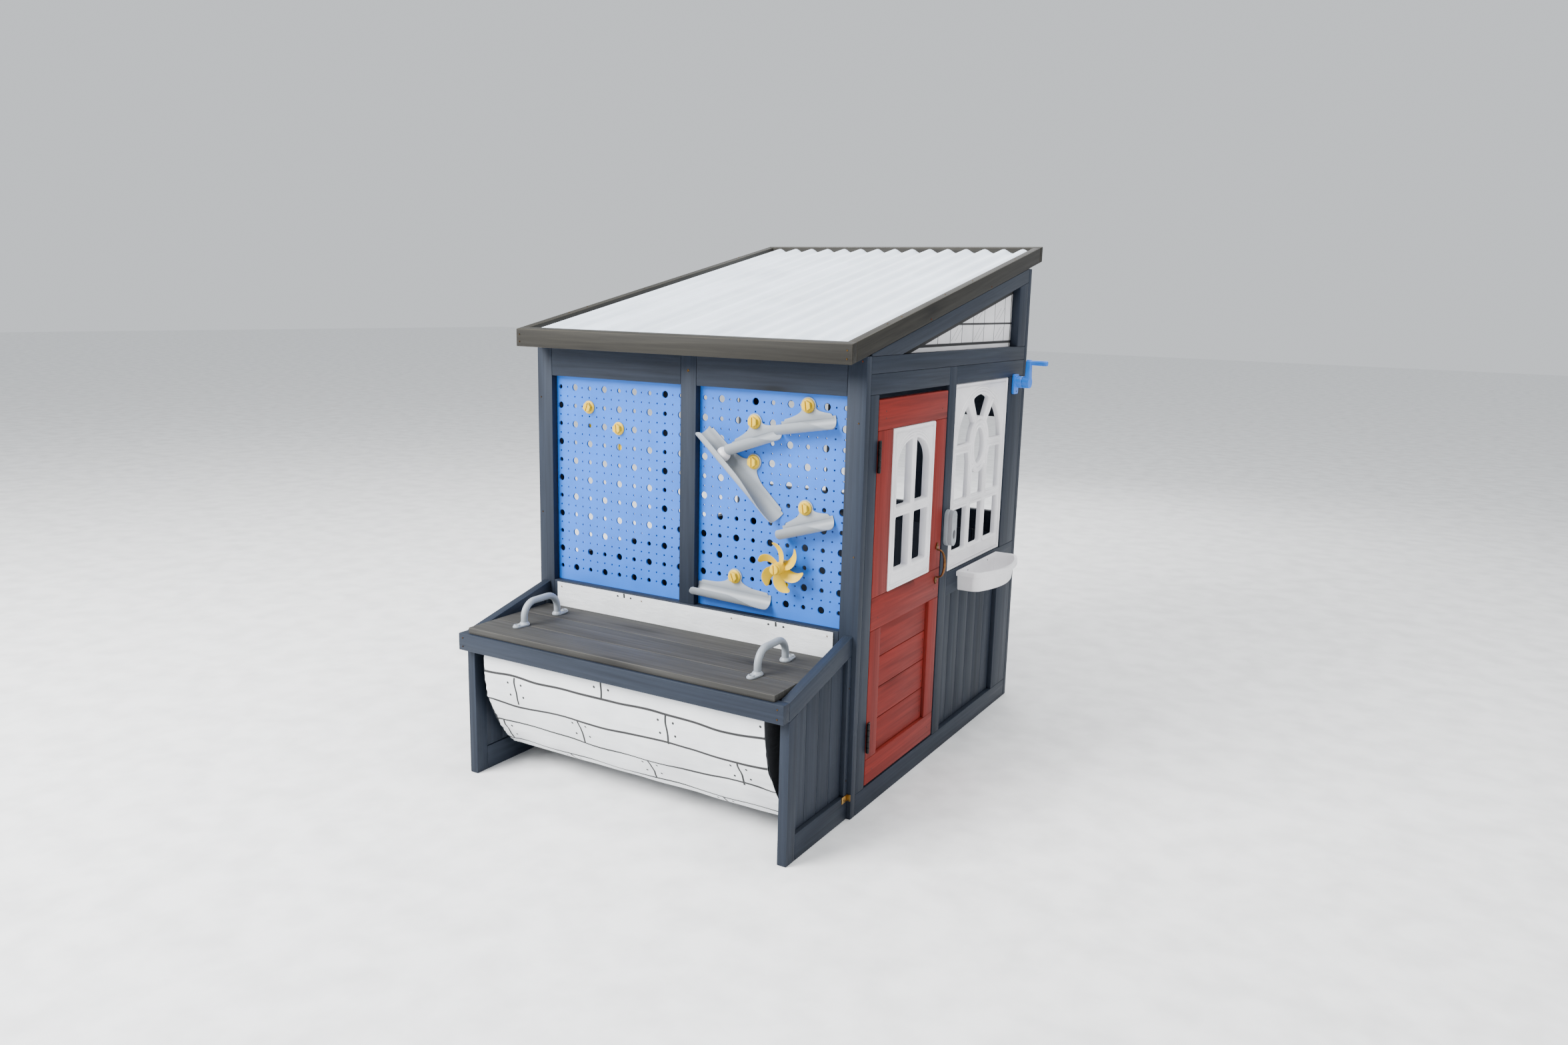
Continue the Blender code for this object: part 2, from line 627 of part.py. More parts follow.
def crank(blue):
    """Turning crank: a screwed plate with its barrel, and the cranked handle."""
    face = HALF_W + GAP
    plate = bmesh.new()
    add_box(plate, (face, CRANK_Y - 0.020, 1.047), (face + 0.009, CRANK_Y + 0.020, 1.110))
    obj = add_mesh("crank_plate", plate, blue)
    barrel = bmesh.new()
    add_prism(barrel, circle((CRANK_Y, CRANK_Z), 0.0200, 20), "x", face + 0.004, face + 0.030)
    boolean(obj, helper("crank_plate.barrel", barrel), 'UNION')
    arm_x = face + 0.0305
    arm = bmesh.new()
    add_prism(arm, circle((CRANK_Y, CRANK_Z), 0.0190, 20), "x", arm_x, arm_x + 0.024)
    handle = add_mesh("crank_handle", arm, blue, (arm_x, CRANK_Y, CRANK_Z), smooth=True)
    lever = bmesh.new()
    outline = arc((CRANK_Y, CRANK_Z), 0.0150, 0.0150, 188.0, 352.0, 8)
    outline += arc((CRANK_Y, CRANK_Z + 0.062), 0.0100, 0.0100, 0.0, 180.0, 8)
    add_prism(lever, outline, "x", arm_x + 0.008, arm_x + 0.0235)
    boolean(handle, helper("crank_handle.lever", lever), 'UNION')
    grip = bmesh.new()
    end = HALF_W + 0.108
    tube(grip, [(arm_x + 0.014, CRANK_Y, CRANK_Z + 0.062), (end, CRANK_Y, CRANK_Z + 0.062)], 0.0085, 12)
    boolean(handle, helper("crank_handle.grip", grip), 'UNION')


# ----------------------------------------------------------------- marble run
PLATE_Y = (PEG_Y - GAP - 0.0030, PEG_Y - GAP)   # back plate of a chute
PIPE_R = 0.0255                                 # outer radius of a chute
PIPE_T = 0.0025
CHUTE_DROP = 0.065                              # bolt axis to the chute's underside
SHANK_R = 0.0062


def chute(name, column, row, angle, before, after, material):
    """A half-pipe with a back plate whose tab hangs on a bolt.

    before and after are how far it runs either side of the bolt; the front
    lip is cut away towards its right-hand end.
    """
    x, z = peg_hole("right", column, row)
    pivot = (x, PLATE_Y[0], z)
    bm = bmesh.new()
    axis_y = PLATE_Y[1] - PIPE_R
    axis_z = -CHUTE_DROP + PIPE_R
    stations = (0.0, 0.035, 0.5, 0.72, 0.88, 0.96, 1.0)
    rings = []
    for s in stations:
        along = -before + (before + after) * s
        open_up = 0.0 if s < 0.5 else (s - 0.5) / 0.5
        end = 2.0 - 78.0 * open_up
        back = 0.010 if 0.0 < s < 1.0 else 0.002
        section = chute_section(axis_y, axis_z, end, back)
        rings.append([bm.verts.new((along, y, height)) for y, height in section])
    count = len(rings[0])
    for first, second in zip(rings, rings[1:]):
        for k in range(count):
            n = (k + 1) % count
            bm.faces.new((first[k], first[n], second[n], second[k]))
    bm.faces.new(list(reversed(rings[0])))
    bm.faces.new(rings[-1])
    turn = Matrix.Rotation(math.radians(-angle), 4, 'Y')
    bmesh.ops.transform(bm, matrix=turn, verts=bm.verts)
    bmesh.ops.translate(bm, verts=bm.verts, vec=(x, 0.0, z))
    obj = add_mesh(name, bm, material, pivot, smooth=True)
    tab = bmesh.new()
    outline = [(-0.046, axis_z + 0.004), (0.046, axis_z + 0.004), (0.030, axis_z + 0.014)]
    outline += arc((0.0, 0.0), 0.022, 0.022, 0.0, 180.0, 10) + [(-0.030, axis_z + 0.014)]
    add_prism(tab, outline, "y", PLATE_Y[0] + 0.0002, PLATE_Y[1] - 0.0002)
    bmesh.ops.transform(tab, matrix=turn, verts=tab.verts)
    bmesh.ops.translate(tab, verts=tab.verts, vec=(x, 0.0, z))
    boolean(obj, helper(name + ".tab", tab), 'UNION')
    hole = bmesh.new()
    add_prism(hole, circle((x, z), SHANK_R + 0.0006, 12), "y", PLATE_Y[0] - 0.01, PLATE_Y[1] + 0.01)
    boolean(obj, helper(name + ".hole", hole), 'DIFFERENCE')


def chute_section(axis_y, axis_z, end, back):
    """Closed section of a chute: up the back plate, round the pipe to the lip."""
    outer = [(axis_y + PIPE_R, axis_z + back)]
    outer += arc((axis_y, axis_z), PIPE_R, PIPE_R, 0.0, -180.0 - end + 2.0, 9)
    inner_r = PIPE_R - PIPE_T
    inner = arc((axis_y, axis_z), inner_r, inner_r, -180.0 - end + 2.0, 0.0, 9)
    inner += [(axis_y + inner_r, axis_z + back)]
    return outer + inner


def bolt(name, side, column, row, seat, length, material):
    """Plastic bolt: hex head on a round flange, and its shank through the board."""
    x, z = peg_hole(side, column, row)
    bm = bmesh.new()
    add_prism(bm, circle((x, z), 0.0185, 16), "y", seat - 0.005, seat)
    obj = add_mesh(name, bm, material, (x, seat, z), smooth=True)
    head = bmesh.new()
    add_prism(head, circle((x, z), 0.0140, 6, math.radians(20.0)), "y", seat - 0.014, seat - 0.003)
    boolean(obj, helper(name + ".head", head), 'UNION')
    shank = bmesh.new()
    add_prism(shank, circle((x, z), SHANK_R, 12), "y", seat - 0.002, seat + length)
    boolean(obj, helper(name + ".shank", shank), 'UNION')


def marble_run(grey, yellow, white):
    runs = (
        ("chute_a", 6, 0, 9.7, 0.085, 0.074),
        ("chute_b", 3, 1, 19.5, 0.085, 0.070),
        ("chute_c", 3, 3, -42.1, 0.160, 0.153),
        ("chute_d", 6, 5, 16.9, 0.080, 0.073),
        ("chute_e", 2, 9, -2.0, 0.1160, 0.115),
    )
    seat = PLATE_Y[0] - GAP
    for name, column, row, angle, before, after in runs:
        chute(name, column, row, angle, before, after, grey)
        bolt(name.replace("chute", "bolt"), "right", column, row, seat, 0.022, yellow)
    loose = PEG_Y - GAP
    bolt("spare_bolt_upper", "left", 2, 1, loose, 0.019, yellow)
    bolt("spare_bolt_lower", "left", 4, 2, loose, 0.019, yellow)
    spinner(yellow)
    ball(white)


SPINNER_HOLE = (5, 8)
BLADES = 6


def spinner(material):
    """Six-bladed wheel turning on a long bolt."""
    x, z = peg_hole("right", *SPINNER_HOLE)
    back, front = PEG_Y - GAP - 0.004, -0.040
    bm = bmesh.new()
    add_prism(bm, circle((x, z), 0.0155, 18), "y", front, back)
    obj = add_mesh("spinner", bm, material, (x, (front + back) / 2.0, z), smooth=True)
    blades = bmesh.new()
    for i in range(BLADES):
        blade(blades, x, z, 2.0 * math.pi * i / BLADES + math.radians(20.0))
    boolean(obj, helper("spinner.blades", blades), 'UNION')
    bore = bmesh.new()
    add_prism(bore, circle((x, z), SHANK_R + 0.0006, 12), "y", front - 0.01, back + 0.01)
    boolean(obj, helper("spinner.bore", bore), 'DIFFERENCE')
    axle = bmesh.new()
    add_prism(axle, circle((x, z), 0.0130, 16), "y", front - 0.0070, front - 0.0008)
    pin = add_mesh("spinner_bolt", axle, material, (x, front, z), smooth=True)
    shank = bmesh.new()
    add_prism(shank, circle((x, z), SHANK_R, 12), "y", front - 0.002, PEG_Y + 0.019)
    boolean(pin, helper("spinner_bolt.shank", shank), 'UNION')


def blade(bm, x, z, angle):
    """One curved, pitched blade, reaching out from the hub."""
    rings = []
    for i in range(6):
        t = i / 5.0
        radius = 0.012 + 0.0560 * t
        swing = angle + 0.55 * t * t
        pitch = math.radians(38.0 - 10.0 * t)
        half = 0.0125 + 0.0035 * math.sin(math.pi * t) - 0.004 * t ** 6
        radial = Vector((math.cos(swing), 0.0, math.sin(swing)))
        tangent = Vector((-math.sin(swing), 0.0, math.cos(swing)))
        across = tangent * math.cos(pitch) + Vector((0.0, math.sin(pitch), 0.0))
        normal = radial.cross(across).normalized()
        centre = Vector((x, -0.012, z)) + radial * radius
        ring = []
        for side, face in ((-1.0, -1.0), (1.0, -1.0), (1.0, 1.0), (-1.0, 1.0)):
            ring.append(bm.verts.new(centre + across * half * side + normal * 0.0014 * face))
        rings.append(ring)
    for first, second in zip(rings, rings[1:]):
        for k in range(4):
            n = (k + 1) % 4
            bm.faces.new((first[k], first[n], second[n], second[k]))
    bm.faces.new(list(reversed(rings[0])))
    bm.faces.new(rings[-1])


def ball(material):
    """Ball resting in the long chute, under the end of the chute above."""
    radius = 0.0196
    x, z = peg_hole("right", 3, 3)
    along = Vector((math.cos(math.radians(-42.1)), 0.0, math.sin(math.radians(-42.1))))
    up = Vector((-along.z, 0.0, along.x))
    drop = CHUTE_DROP - PIPE_T - radius - 0.0009
    centre = Vector((x, PLATE_Y[1] - PIPE_R, z)) - along * 0.070 - up * drop
    bm = bmesh.new()
    bmesh.ops.create_icosphere(bm, subdivisions=2, radius=radius)
    bmesh.ops.translate(bm, verts=bm.verts, vec=centre)
    add_mesh("ball", bm, material, centre, smooth=True)


def main():
    clear_scene()
    stain = finish("blue_stain", (0.055, 0.080, 0.115), 0.65)
    roof_stain = finish("roof_stain", (0.075, 0.068, 0.055), 0.7)
    red = finish("door_stain", (0.35, 0.045, 0.035), 0.6)
    plank = finish("grey_plank", (0.15, 0.145, 0.14), 0.75)
    sheet = finish("roof_sheet", (0.78, 0.84, 0.92), 0.35)
    sky = finish("sky_plastic", (0.14, 0.38, 0.92), 0.45)
    white = finish("white_plastic", (0.82, 0.81, 0.82), 0.4)
    grey = finish("grey_plastic", (0.42, 0.44, 0.45), 0.45)
    yellow = finish("yellow_plastic", (0.92, 0.72, 0.05), 0.4)
    blue = finish("blue_plastic", (0.10, 0.34, 0.85), 0.4)
    canvas = finish("white_canvas", (0.75, 0.77, 0.78), 0.85)
    black = finish("black_steel", (0.015, 0.015, 0.015), 0.5, 0.6)
    bronze = finish("bronze", (0.14, 0.07, 0.035), 0.4, 0.9)
    dark = finish("dark_plastic", (0.05, 0.05, 0.055), 0.5)
    front_wall(stain, sky)
    right_wall(stain, white)
    left_wall(stain)
    back_wall(stain)
    right_gable(stain, canvas)
    left_gable(stain)
    roof(roof_stain, sheet)
    door(red, white, black, bronze)
    toy_bin(stain, canvas, plank, grey)
    planter(white)
    doorbell(grey, dark)
    crank(blue)
    marble_run(grey, yellow, white)


main()
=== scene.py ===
"""Finished look of a wooden playhouse with a marble-run wall and a toy bin.

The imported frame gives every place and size. Each class below is one
sub-assembly: it holds its own sizes, makes its own pieces and dresses them.
Lengths are in metres. Pieces are worked out in house coordinates, which start
at the ground in the middle of the front wall's outer face, and are moved to
the object's own frame when they are built.
"""

from __future__ import annotations

import logging
import math
import random
from dataclasses import dataclass, field
from enum import Enum
from typing import Any, Callable, Iterable, Sequence

import bmesh
import bpy
from mathutils import Matrix, Vector, noise
from mathutils.geometry import tessellate_polygon

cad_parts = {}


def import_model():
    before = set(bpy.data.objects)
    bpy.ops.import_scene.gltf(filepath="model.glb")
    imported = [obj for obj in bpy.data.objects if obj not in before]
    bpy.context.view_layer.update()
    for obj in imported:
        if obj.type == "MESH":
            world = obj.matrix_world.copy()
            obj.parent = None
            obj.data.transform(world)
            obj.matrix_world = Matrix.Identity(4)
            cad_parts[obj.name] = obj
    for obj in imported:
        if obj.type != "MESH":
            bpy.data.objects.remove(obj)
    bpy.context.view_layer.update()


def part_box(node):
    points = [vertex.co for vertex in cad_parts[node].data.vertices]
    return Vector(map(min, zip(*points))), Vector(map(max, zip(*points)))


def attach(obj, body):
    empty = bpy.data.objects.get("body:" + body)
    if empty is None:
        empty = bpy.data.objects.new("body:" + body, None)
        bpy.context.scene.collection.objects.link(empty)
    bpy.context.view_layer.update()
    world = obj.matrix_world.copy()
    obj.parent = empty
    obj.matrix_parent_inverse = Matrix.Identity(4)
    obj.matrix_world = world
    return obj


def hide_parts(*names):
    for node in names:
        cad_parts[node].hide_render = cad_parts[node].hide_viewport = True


log = logging.getLogger("playhouse")

Pair = tuple[float, float]
Triple = tuple[float, float, float]
Point = Sequence[float]
Outline = Sequence[Pair]
HOUSE = Vector((-0.0575, -0.4685, 0.0))   # house coordinates to the object's frame
GAP = 0.0003              # clearance between boards
WALL_X = 0.525            # outer face of the side walls
FACE_X = WALL_X + GAP     # where the fittings of the door side start
PITCH = 0.0525            # between the big holes of a pegboard
PEG_LEFT, PEG_RIGHT, PEG_TOP = -0.4582, 0.0399, 1.067   # first hole of each pegboard
SILL = (0.478, 0.548)     # rail under the windows of the side walls
SLOPE = math.tan(math.radians(12.0))
GABLE_HEAD = 1.154        # foot of the sloping gable rail, at the front face
GABLE_RAIL = 1.197        # top of the gable's level rail
GABLE_STILE = 1.086       # where the gable's back stile starts
GABLE_TOE = (GABLE_RAIL - GABLE_HEAD) / SLOPE
UP = (0.0, 0.0, 1.0)
OUT = (1.0, 0.0, 0.0)


def roof_z(y: float) -> float:
    """Underside of the roof frame at house depth y."""
    return 1.198 + SLOPE * y


def gable_z(y: float) -> float:
    """Underside of the sloping gable rail at house depth y."""
    return GABLE_HEAD + SLOPE * y


def node_box(name: str) -> tuple[Vector, Vector]:
    """Lowest and highest corner of a frame node, in house coordinates."""
    low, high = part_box(name)
    return low - HOUSE, high - HOUSE


def arc(centre: Pair, wide: float, high: float, start: float, end: float, steps: int) -> list[Pair]:
    """Points along an elliptical arc.

    Args:
        centre: Middle of the ellipse.
        wide: Its first half axis.
        high: Its second half axis.
        start: First angle, in degrees.
        end: Last angle, in degrees.
        steps: Number of chords.

    Returns:
        The points in order, steps + 1 of them.
    """
    angles = [math.radians(start + (end - start) * i / steps) for i in range(steps + 1)]
    return [(centre[0] + wide * math.cos(a), centre[1] + high * math.sin(a)) for a in angles]


def oval(centre: Pair, wide: float, high: float, steps: int) -> list[Pair]:
    """Points round a whole ellipse, with half axes wide and high."""
    return arc(centre, wide, high, 0.0, 360.0, steps)[:-1]


def bead(wide: float, high: float) -> list[Pair]:
    """Half-round section of a raised bead."""
    return arc((0.0, 0.0), wide, high, 0.0, 180.0, 6)


def box_outline(y0: float, y1: float, z0: float, z1: float) -> list[Pair]:
    """A rectangle as four corners."""
    return [(y0, z0), (y1, z0), (y1, z1), (y0, z1)]


def mirrored(outline: Iterable[Pair], middle: float, side: float) -> list[Pair]:
    """An outline laid to one side of a middle line, turning the same way on both."""
    turned = [(middle + side * y, z) for y, z in outline]
    return turned if side > 0.0 else turned[::-1]


def rounded(outline: Outline, radius: float, steps: int = 4) -> list[Pair]:
    """A closed outline with its sharp corners turned into small arcs.

    Args:
        outline: The corners, in order.
        radius: Radius of each corner; shorter where the sides are short.
        steps: Chords to a corner.

    Returns:
        The new outline. Corners under 25 degrees are kept as they are.
    """
    made: list[Pair] = []
    for i, corner in enumerate(outline):
        here = Vector(corner)
        before = Vector(outline[i - 1]) - here
        after = Vector(outline[(i + 1) % len(outline)]) - here
        turn = math.pi - before.angle(after)
        if turn < math.radians(25.0):
            made.append(corner)
            continue
        reach = min(radius * math.tan(turn / 2.0), 0.45 * before.length, 0.45 * after.length)
        first = here + before.normalized() * reach
        last = here + after.normalized() * reach
        for k in range(steps + 1):
            t = k / steps
            point = first * (1 - t) ** 2 + here * 2 * t * (1 - t) + last * t * t
            made.append((point.x, point.y))
    return made


def inset(outline: Outline, distance: float) -> list[Pair]:
    """A closed outline moved outwards (or inwards, below zero) by a distance."""
    area = sum(a[0] * b[1] - b[0] * a[1] for a, b in zip(outline, [*outline[1:], outline[0]]))
    side = 1.0 if area > 0 else -1.0
    made: list[Pair] = []
    for i, corner in enumerate(outline):
        before = (Vector(corner) - Vector(outline[i - 1])).normalized()
        after = (Vector(outline[(i + 1) % len(outline)]) - Vector(corner)).normalized()
        mean = (before + after).normalized()
        normal = Vector((mean.y, -mean.x)) * side
        stretch = 1.0 / max(0.5, mean.dot(after))
        made.append((corner[0] + normal.x * distance * stretch, corner[1] + normal.y * distance * stretch))
    return made


def spline(knots: Sequence[Point], steps: int) -> list[Vector]:
    """A smooth open curve through its knots, at even spacing.

    Args:
        knots: Points the curve passes through.
        steps: Number of even steps along it.

    Returns:
        steps + 1 points.
    """
    points = [Vector(k) for k in knots]
    points = [points[0] * 2 - points[1], *points, points[-1] * 2 - points[-2]]
    fine: list[Vector] = []
    for a, b, c, d in zip(points, points[1:], points[2:], points[3:]):
        for k in range(24):
            t = k / 24.0
            fine.append(0.5 * (b * 2 + (c - a) * t + (a * 2 - b * 5 + c * 4 - d) * t * t
                               + (b * 3 - a - c * 3 + d) * t ** 3))
    fine.append(points[-2])
    lengths = [0.0]
    for a, b in zip(fine, fine[1:]):
        lengths.append(lengths[-1] + (b - a).length)
    made, j = [], 0
    for i in range(steps + 1):
        target = lengths[-1] * i / steps
        while j < len(lengths) - 2 and lengths[j + 1] < target:
            j += 1
        share = (target - lengths[j]) / max(lengths[j + 1] - lengths[j], 1e-9)
        made.append(fine[j].lerp(fine[j + 1], min(1.0, share)))
    return made


# ------------------------------------------------------------------ node trees
class Value:
    """One output socket, so that node maths reads as a plain expression."""

    def __init__(self, graph: "Graph", socket: bpy.types.NodeSocket) -> None:
        """Hold a socket and the tree it belongs to."""
        self.graph = graph
        self.socket = socket

    def other(self, name: str) -> "Value":
        """Another output of the same node."""
        return Value(self.graph, self.socket.node.outputs[name])

    def math(self, operation: str, *others: Any) -> "Value":
        """One Math node with this value first."""
        inputs = {0: self, **{i + 1: o for i, o in enumerate(others)}}
        return self.graph.add("ShaderNodeMath", {"operation": operation}, inputs)

    def __add__(self, other: Any) -> "Value":
        """Sum."""
        return self.math("ADD", other)

    def __mul__(self, other: Any) -> "Value":
        """Product."""
        return self.math("MULTIPLY", other)

    def __sub__(self, other: Any) -> "Value":
        """Difference."""
        return self.math("SUBTRACT", other)

    def __rsub__(self, other: Any) -> "Value":
        """Difference, from a plain number."""
        return self.graph.add("ShaderNodeMath", {"operation": "SUBTRACT"}, {0: other, 1: self})

    def __truediv__(self, other: Any) -> "Value":
        """Quotient."""
        return self.math("DIVIDE", other)

    def __gt__(self, other: Any) -> "Value":
        """1 where this value is the greater."""
        return self.math("GREATER_THAN", other)

    def __lt__(self, other: Any) -> "Value":
        """1 where this value is the smaller."""
        return self.math("LESS_THAN", other)

    __radd__ = __add__
    __rmul__ = __mul__

    def smooth(self, low: float, high: float) -> "Value":
        """0 below low, 1 above high, with a soft step between."""
        settings = {"interpolation_type": "SMOOTHSTEP"}
        return self.graph.add("ShaderNodeMapRange", settings, {0: self, 1: low, 2: high})


class Graph:
    """A node tree, shader or geometry, and one way to add any node to it."""

    def __init__(self, tree: bpy.types.NodeTree) -> None:
        """Hold the tree."""
        self.tree = tree

    def add(self, kind: str, settings: dict[str, Any] | None = None,
            inputs: dict[int | str, Any] | None = None, output: int | str = 0) -> Value:
        """Add a node, set it up and link it.

        Args:
            kind: The node's type name.
            settings: Its own settings; "stops" are the stops of a colour ramp.
            inputs: A number, a colour or a Value for each socket.
            output: The output socket that is returned.

        Returns:
            The chosen output.
        """
        node = self.tree.nodes.new(kind)
        for name, setting in (settings or {}).items():
            if name == "stops":
                elements = node.color_ramp.elements
                while len(elements) < len(setting):
                    elements.new(0.5)
                for element, (place, colour) in zip(elements, setting):
                    element.position = place
                    element.color = (*colour, 1.0)
            else:
                setattr(node, name, setting)
        for key, value in (inputs or {}).items():
            self.plug(node.inputs[key], value)
        return Value(self, node.outputs[output])

    def plug(self, socket: bpy.types.NodeSocket, value: Any) -> None:
        """Link a Value to a socket, or set a plain number or colour on it."""
        if isinstance(value, Value):
            self.tree.links.new(value.socket, socket)
        else:
            socket.default_value = value

    def xyz(self, x: Any = 0.0, y: Any = 0.0, z: Any = 0.0) -> Value:
        """A vector from three numbers."""
        return self.add("ShaderNodeCombineXYZ", {}, {0: x, 1: y, 2: z})

    def split(self, vector: Value) -> tuple[Value, Value, Value]:
        """The three numbers of a vector."""
        parts = self.add("ShaderNodeSeparateXYZ", {}, {0: vector})
        return parts, parts.other("Y"), parts.other("Z")

    def position(self) -> tuple[Value, Value, Value]:
        """The place of each point of a geometry."""
        return self.split(self.add("GeometryNodeInputPosition"))

    def named(self, name: str, kind: str = 'FLOAT') -> Value:
        """An attribute that is stored on a geometry."""
        return self.add("GeometryNodeInputNamedAttribute", {"data_type": kind}, {"Name": name})

    def join(self, *parts: Value) -> Value:
        """Several geometries as one."""
        both = self.add("GeometryNodeJoinGeometry")
        for part in parts:
            self.plug(both.socket.node.inputs[0], part)
        return both

    def weld(self, shape: Value, distance: float) -> Value:
        """A geometry whose points are merged where they meet."""
        return self.add("GeometryNodeMergeByDistance", {}, {"Geometry": shape, "Distance": distance})

    def thicken(self, sheet: Value, offset: Value, distance: float) -> Value:
        """A closed shell between a sheet and the same sheet moved by an offset."""
        moved = self.add("GeometryNodeExtrudeMesh", {"mode": 'FACES'}, {
            "Mesh": sheet, "Offset": offset, "Offset Scale": 1.0, "Individual": False})
        return self.weld(self.join(moved, self.add("GeometryNodeFlipFaces", {}, {0: sheet})), distance)

    def noise(self, vector: Value, scale: Triple, detail: float = 2.0, distortion: float = 0.0) -> Value:
        """Soft noise from 0 to 1, stretched by a scale for each direction."""
        place = self.add("ShaderNodeMapping", {}, {"Vector": vector, "Scale": scale})
        sizes = {"Vector": place, "Scale": 1.0, "Detail": detail, "Distortion": distortion}
        return self.add("ShaderNodeTexNoise", {}, sizes)

    def mix(self, share: Any, first: Any, second: Any) -> Value:
        """A colour between two others."""
        return self.add("ShaderNodeMix", {"data_type": "RGBA"}, {0: share, 6: first, 7: second}, 2)

    def ramp(self, value: Value, *stops: tuple[float, Triple]) -> Value:
        """A colour read from a ramp."""
        return self.add("ShaderNodeValToRGB", {"stops": stops}, {"Fac": value})

    def bump(self, height: Value, depth: float, strength: float = 1.0) -> Value:
        """A normal that follows a height of that depth in metres."""
        return self.add("ShaderNodeBump", {}, {"Height": height, "Distance": depth, "Strength": strength})


def paint(red: int, green: int, blue: int) -> Triple:
    """A display colour as the linear one that a shader needs."""
    return tuple(((c / 255 + 0.055) / 1.055) ** 2.4 if c > 10 else c / 3295 for c in (red, green, blue))


# -------------------------------------------------------------------- finishes
@dataclass(frozen=True)
class Finish:
    """What every finish has: a name, and a shader that is made once."""

    name: str

    def material(self) -> bpy.types.Material:
        """The finish's material, made the first time that it is asked for."""
        made = bpy.data.materials.get("finish_" + self.name)
        if made is None:
            made = bpy.data.materials.new("finish_" + self.name)
            made.use_nodes = True
            shader = made.node_tree.nodes["Principled BSDF"]
            graph = Graph(made.node_tree)
            for socket, value in self.dress(graph).items():
                graph.plug(shader.inputs[socket], value)
        return made

    def dress(self, graph: Graph) -> dict[str, Any]:
        """What feeds each socket of the shader; each kind of finish has its own."""
        raise NotImplementedError


@dataclass(frozen=True)
class StainedWood(Finish):
    """Stained softwood: grain along each board, pores, a few knots, worn edges."""

    dark: Triple
    light: Triple
    worn: Triple
    knots: float = 0.25
    wear: float = 0.35
    rough: float = 0.62

    def dress(self, graph: Graph) -> dict[str, Any]:
        """Grain from the boards' own coordinates, which run along each board."""
        wood = graph.add("ShaderNodeAttribute", {"attribute_name": "wood"}, {}, "Vector")
        edge = graph.add("ShaderNodeAttribute", {"attribute_name": "edge"}, {}, "Fac")
        drift = graph.noise(wood, (1.3, 7.0, 7.0), 2.0)
        figure = graph.noise(wood, (1.6, 48.0, 48.0), 4.0, 1.4)
        pores = graph.noise(wood, (14.0, 520.0, 520.0), 2.0)
        brush = graph.noise(wood, (5.0, 130.0, 130.0), 3.0)
        cells = graph.add("ShaderNodeMapping", {}, {"Vector": wood, "Scale": (3.2, 13.0, 13.0)})
        knot = graph.add("ShaderNodeTexVoronoi", {}, {"Vector": cells, "Scale": 1.0, "Randomness": 1.0})
        rare = graph.add("ShaderNodeSeparateColor", {}, {0: knot.other("Color")}) > (1.0 - self.knots)
        spot = (1.0 - knot.smooth(0.04, 0.17)) * rare
        halo = (1.0 - knot.smooth(0.10, 0.42)) * rare
        tone = figure * 0.9 + drift * 0.45 + brush * 0.35 - 0.36 - halo * 0.22
        body = graph.ramp(tone, (0.18, self.dark), (0.80, self.light))
        body = graph.mix((1.0 - pores.smooth(0.28, 0.46)) * 0.38, body, (*self.dark, 1.0))
        body = graph.mix(spot * 0.75, body, (*(c * 0.35 for c in self.dark), 1.0))
        rub = (edge + brush * 0.9 - 0.62).smooth(0.35, 0.75) * self.wear
        body = graph.mix(rub, body, (*self.worn, 1.0))
        relief = figure * 0.5 + pores * 0.35 + brush * 0.4 - spot * 0.3
        return {"Base Color": body, "Roughness": (1.0 - tone) * 0.22 + (self.rough - 0.1),
                "Specular IOR Level": 0.28, "Normal": graph.bump(relief, 0.0009, 0.5)}


@dataclass(frozen=True)
class Moulded(Finish):
    """Injection-moulded plastic: an even colour with slight dust and flow marks."""

    colour: Triple
    rough: float = 0.42
    dust: float = 0.10
    grain: float = 0.25

    def dress(self, graph: Graph) -> dict[str, Any]:
        """Slow changes of shade, and a fine moulded grain."""
        place = graph.add("ShaderNodeTexCoord", {}, {}, "Object")
        slow = graph.noise(place, (9.0, 9.0, 9.0), 3.0)
        fine = graph.noise(place, (900.0, 900.0, 900.0), 2.0)
        speck = graph.noise(place, (160.0, 160.0, 160.0), 2.0).smooth(0.62, 0.80)
        pale = tuple(c + (0.55 - c) * 0.35 for c in self.colour)
        deep = tuple(c * 0.86 for c in self.colour)
        body = graph.ramp(slow, (0.30, deep), (0.62, self.colour))
        body = graph.mix(speck * self.dust, body, (*pale, 1.0))
        return {"Base Color": body, "Roughness": slow * 0.16 + (self.rough - 0.08) + speck * 0.12,
                "Normal": graph.bump(fine * 0.7 + slow * 0.5, 0.00012, self.grain)}


@dataclass(frozen=True)
class Metal(Finish):
    """Small metal parts: bright where handled, dull in patches."""

    colour: Triple
    rough: float = 0.35
    metallic: float = 1.0

    def dress(self, graph: Graph) -> dict[str, Any]:
        """A patchy sheen over fine scratches."""
        place = graph.add("ShaderNodeTexCoord", {}, {}, "Object")
        patch = graph.noise(place, (140.0, 140.0, 140.0), 3.0)
        scratch = graph.noise(place, (220.0, 220.0, 2600.0), 2.0)
        body = graph.ramp(patch, (0.3, tuple(c * 0.55 for c in self.colour)), (0.6, self.colour))
        return {"Base Color": body, "Metallic": self.metallic,
                "Roughness": patch * 0.3 + (self.rough - 0.15) + scratch * 0.12,
                "Normal": graph.bump(scratch, 0.00008, 0.5)}


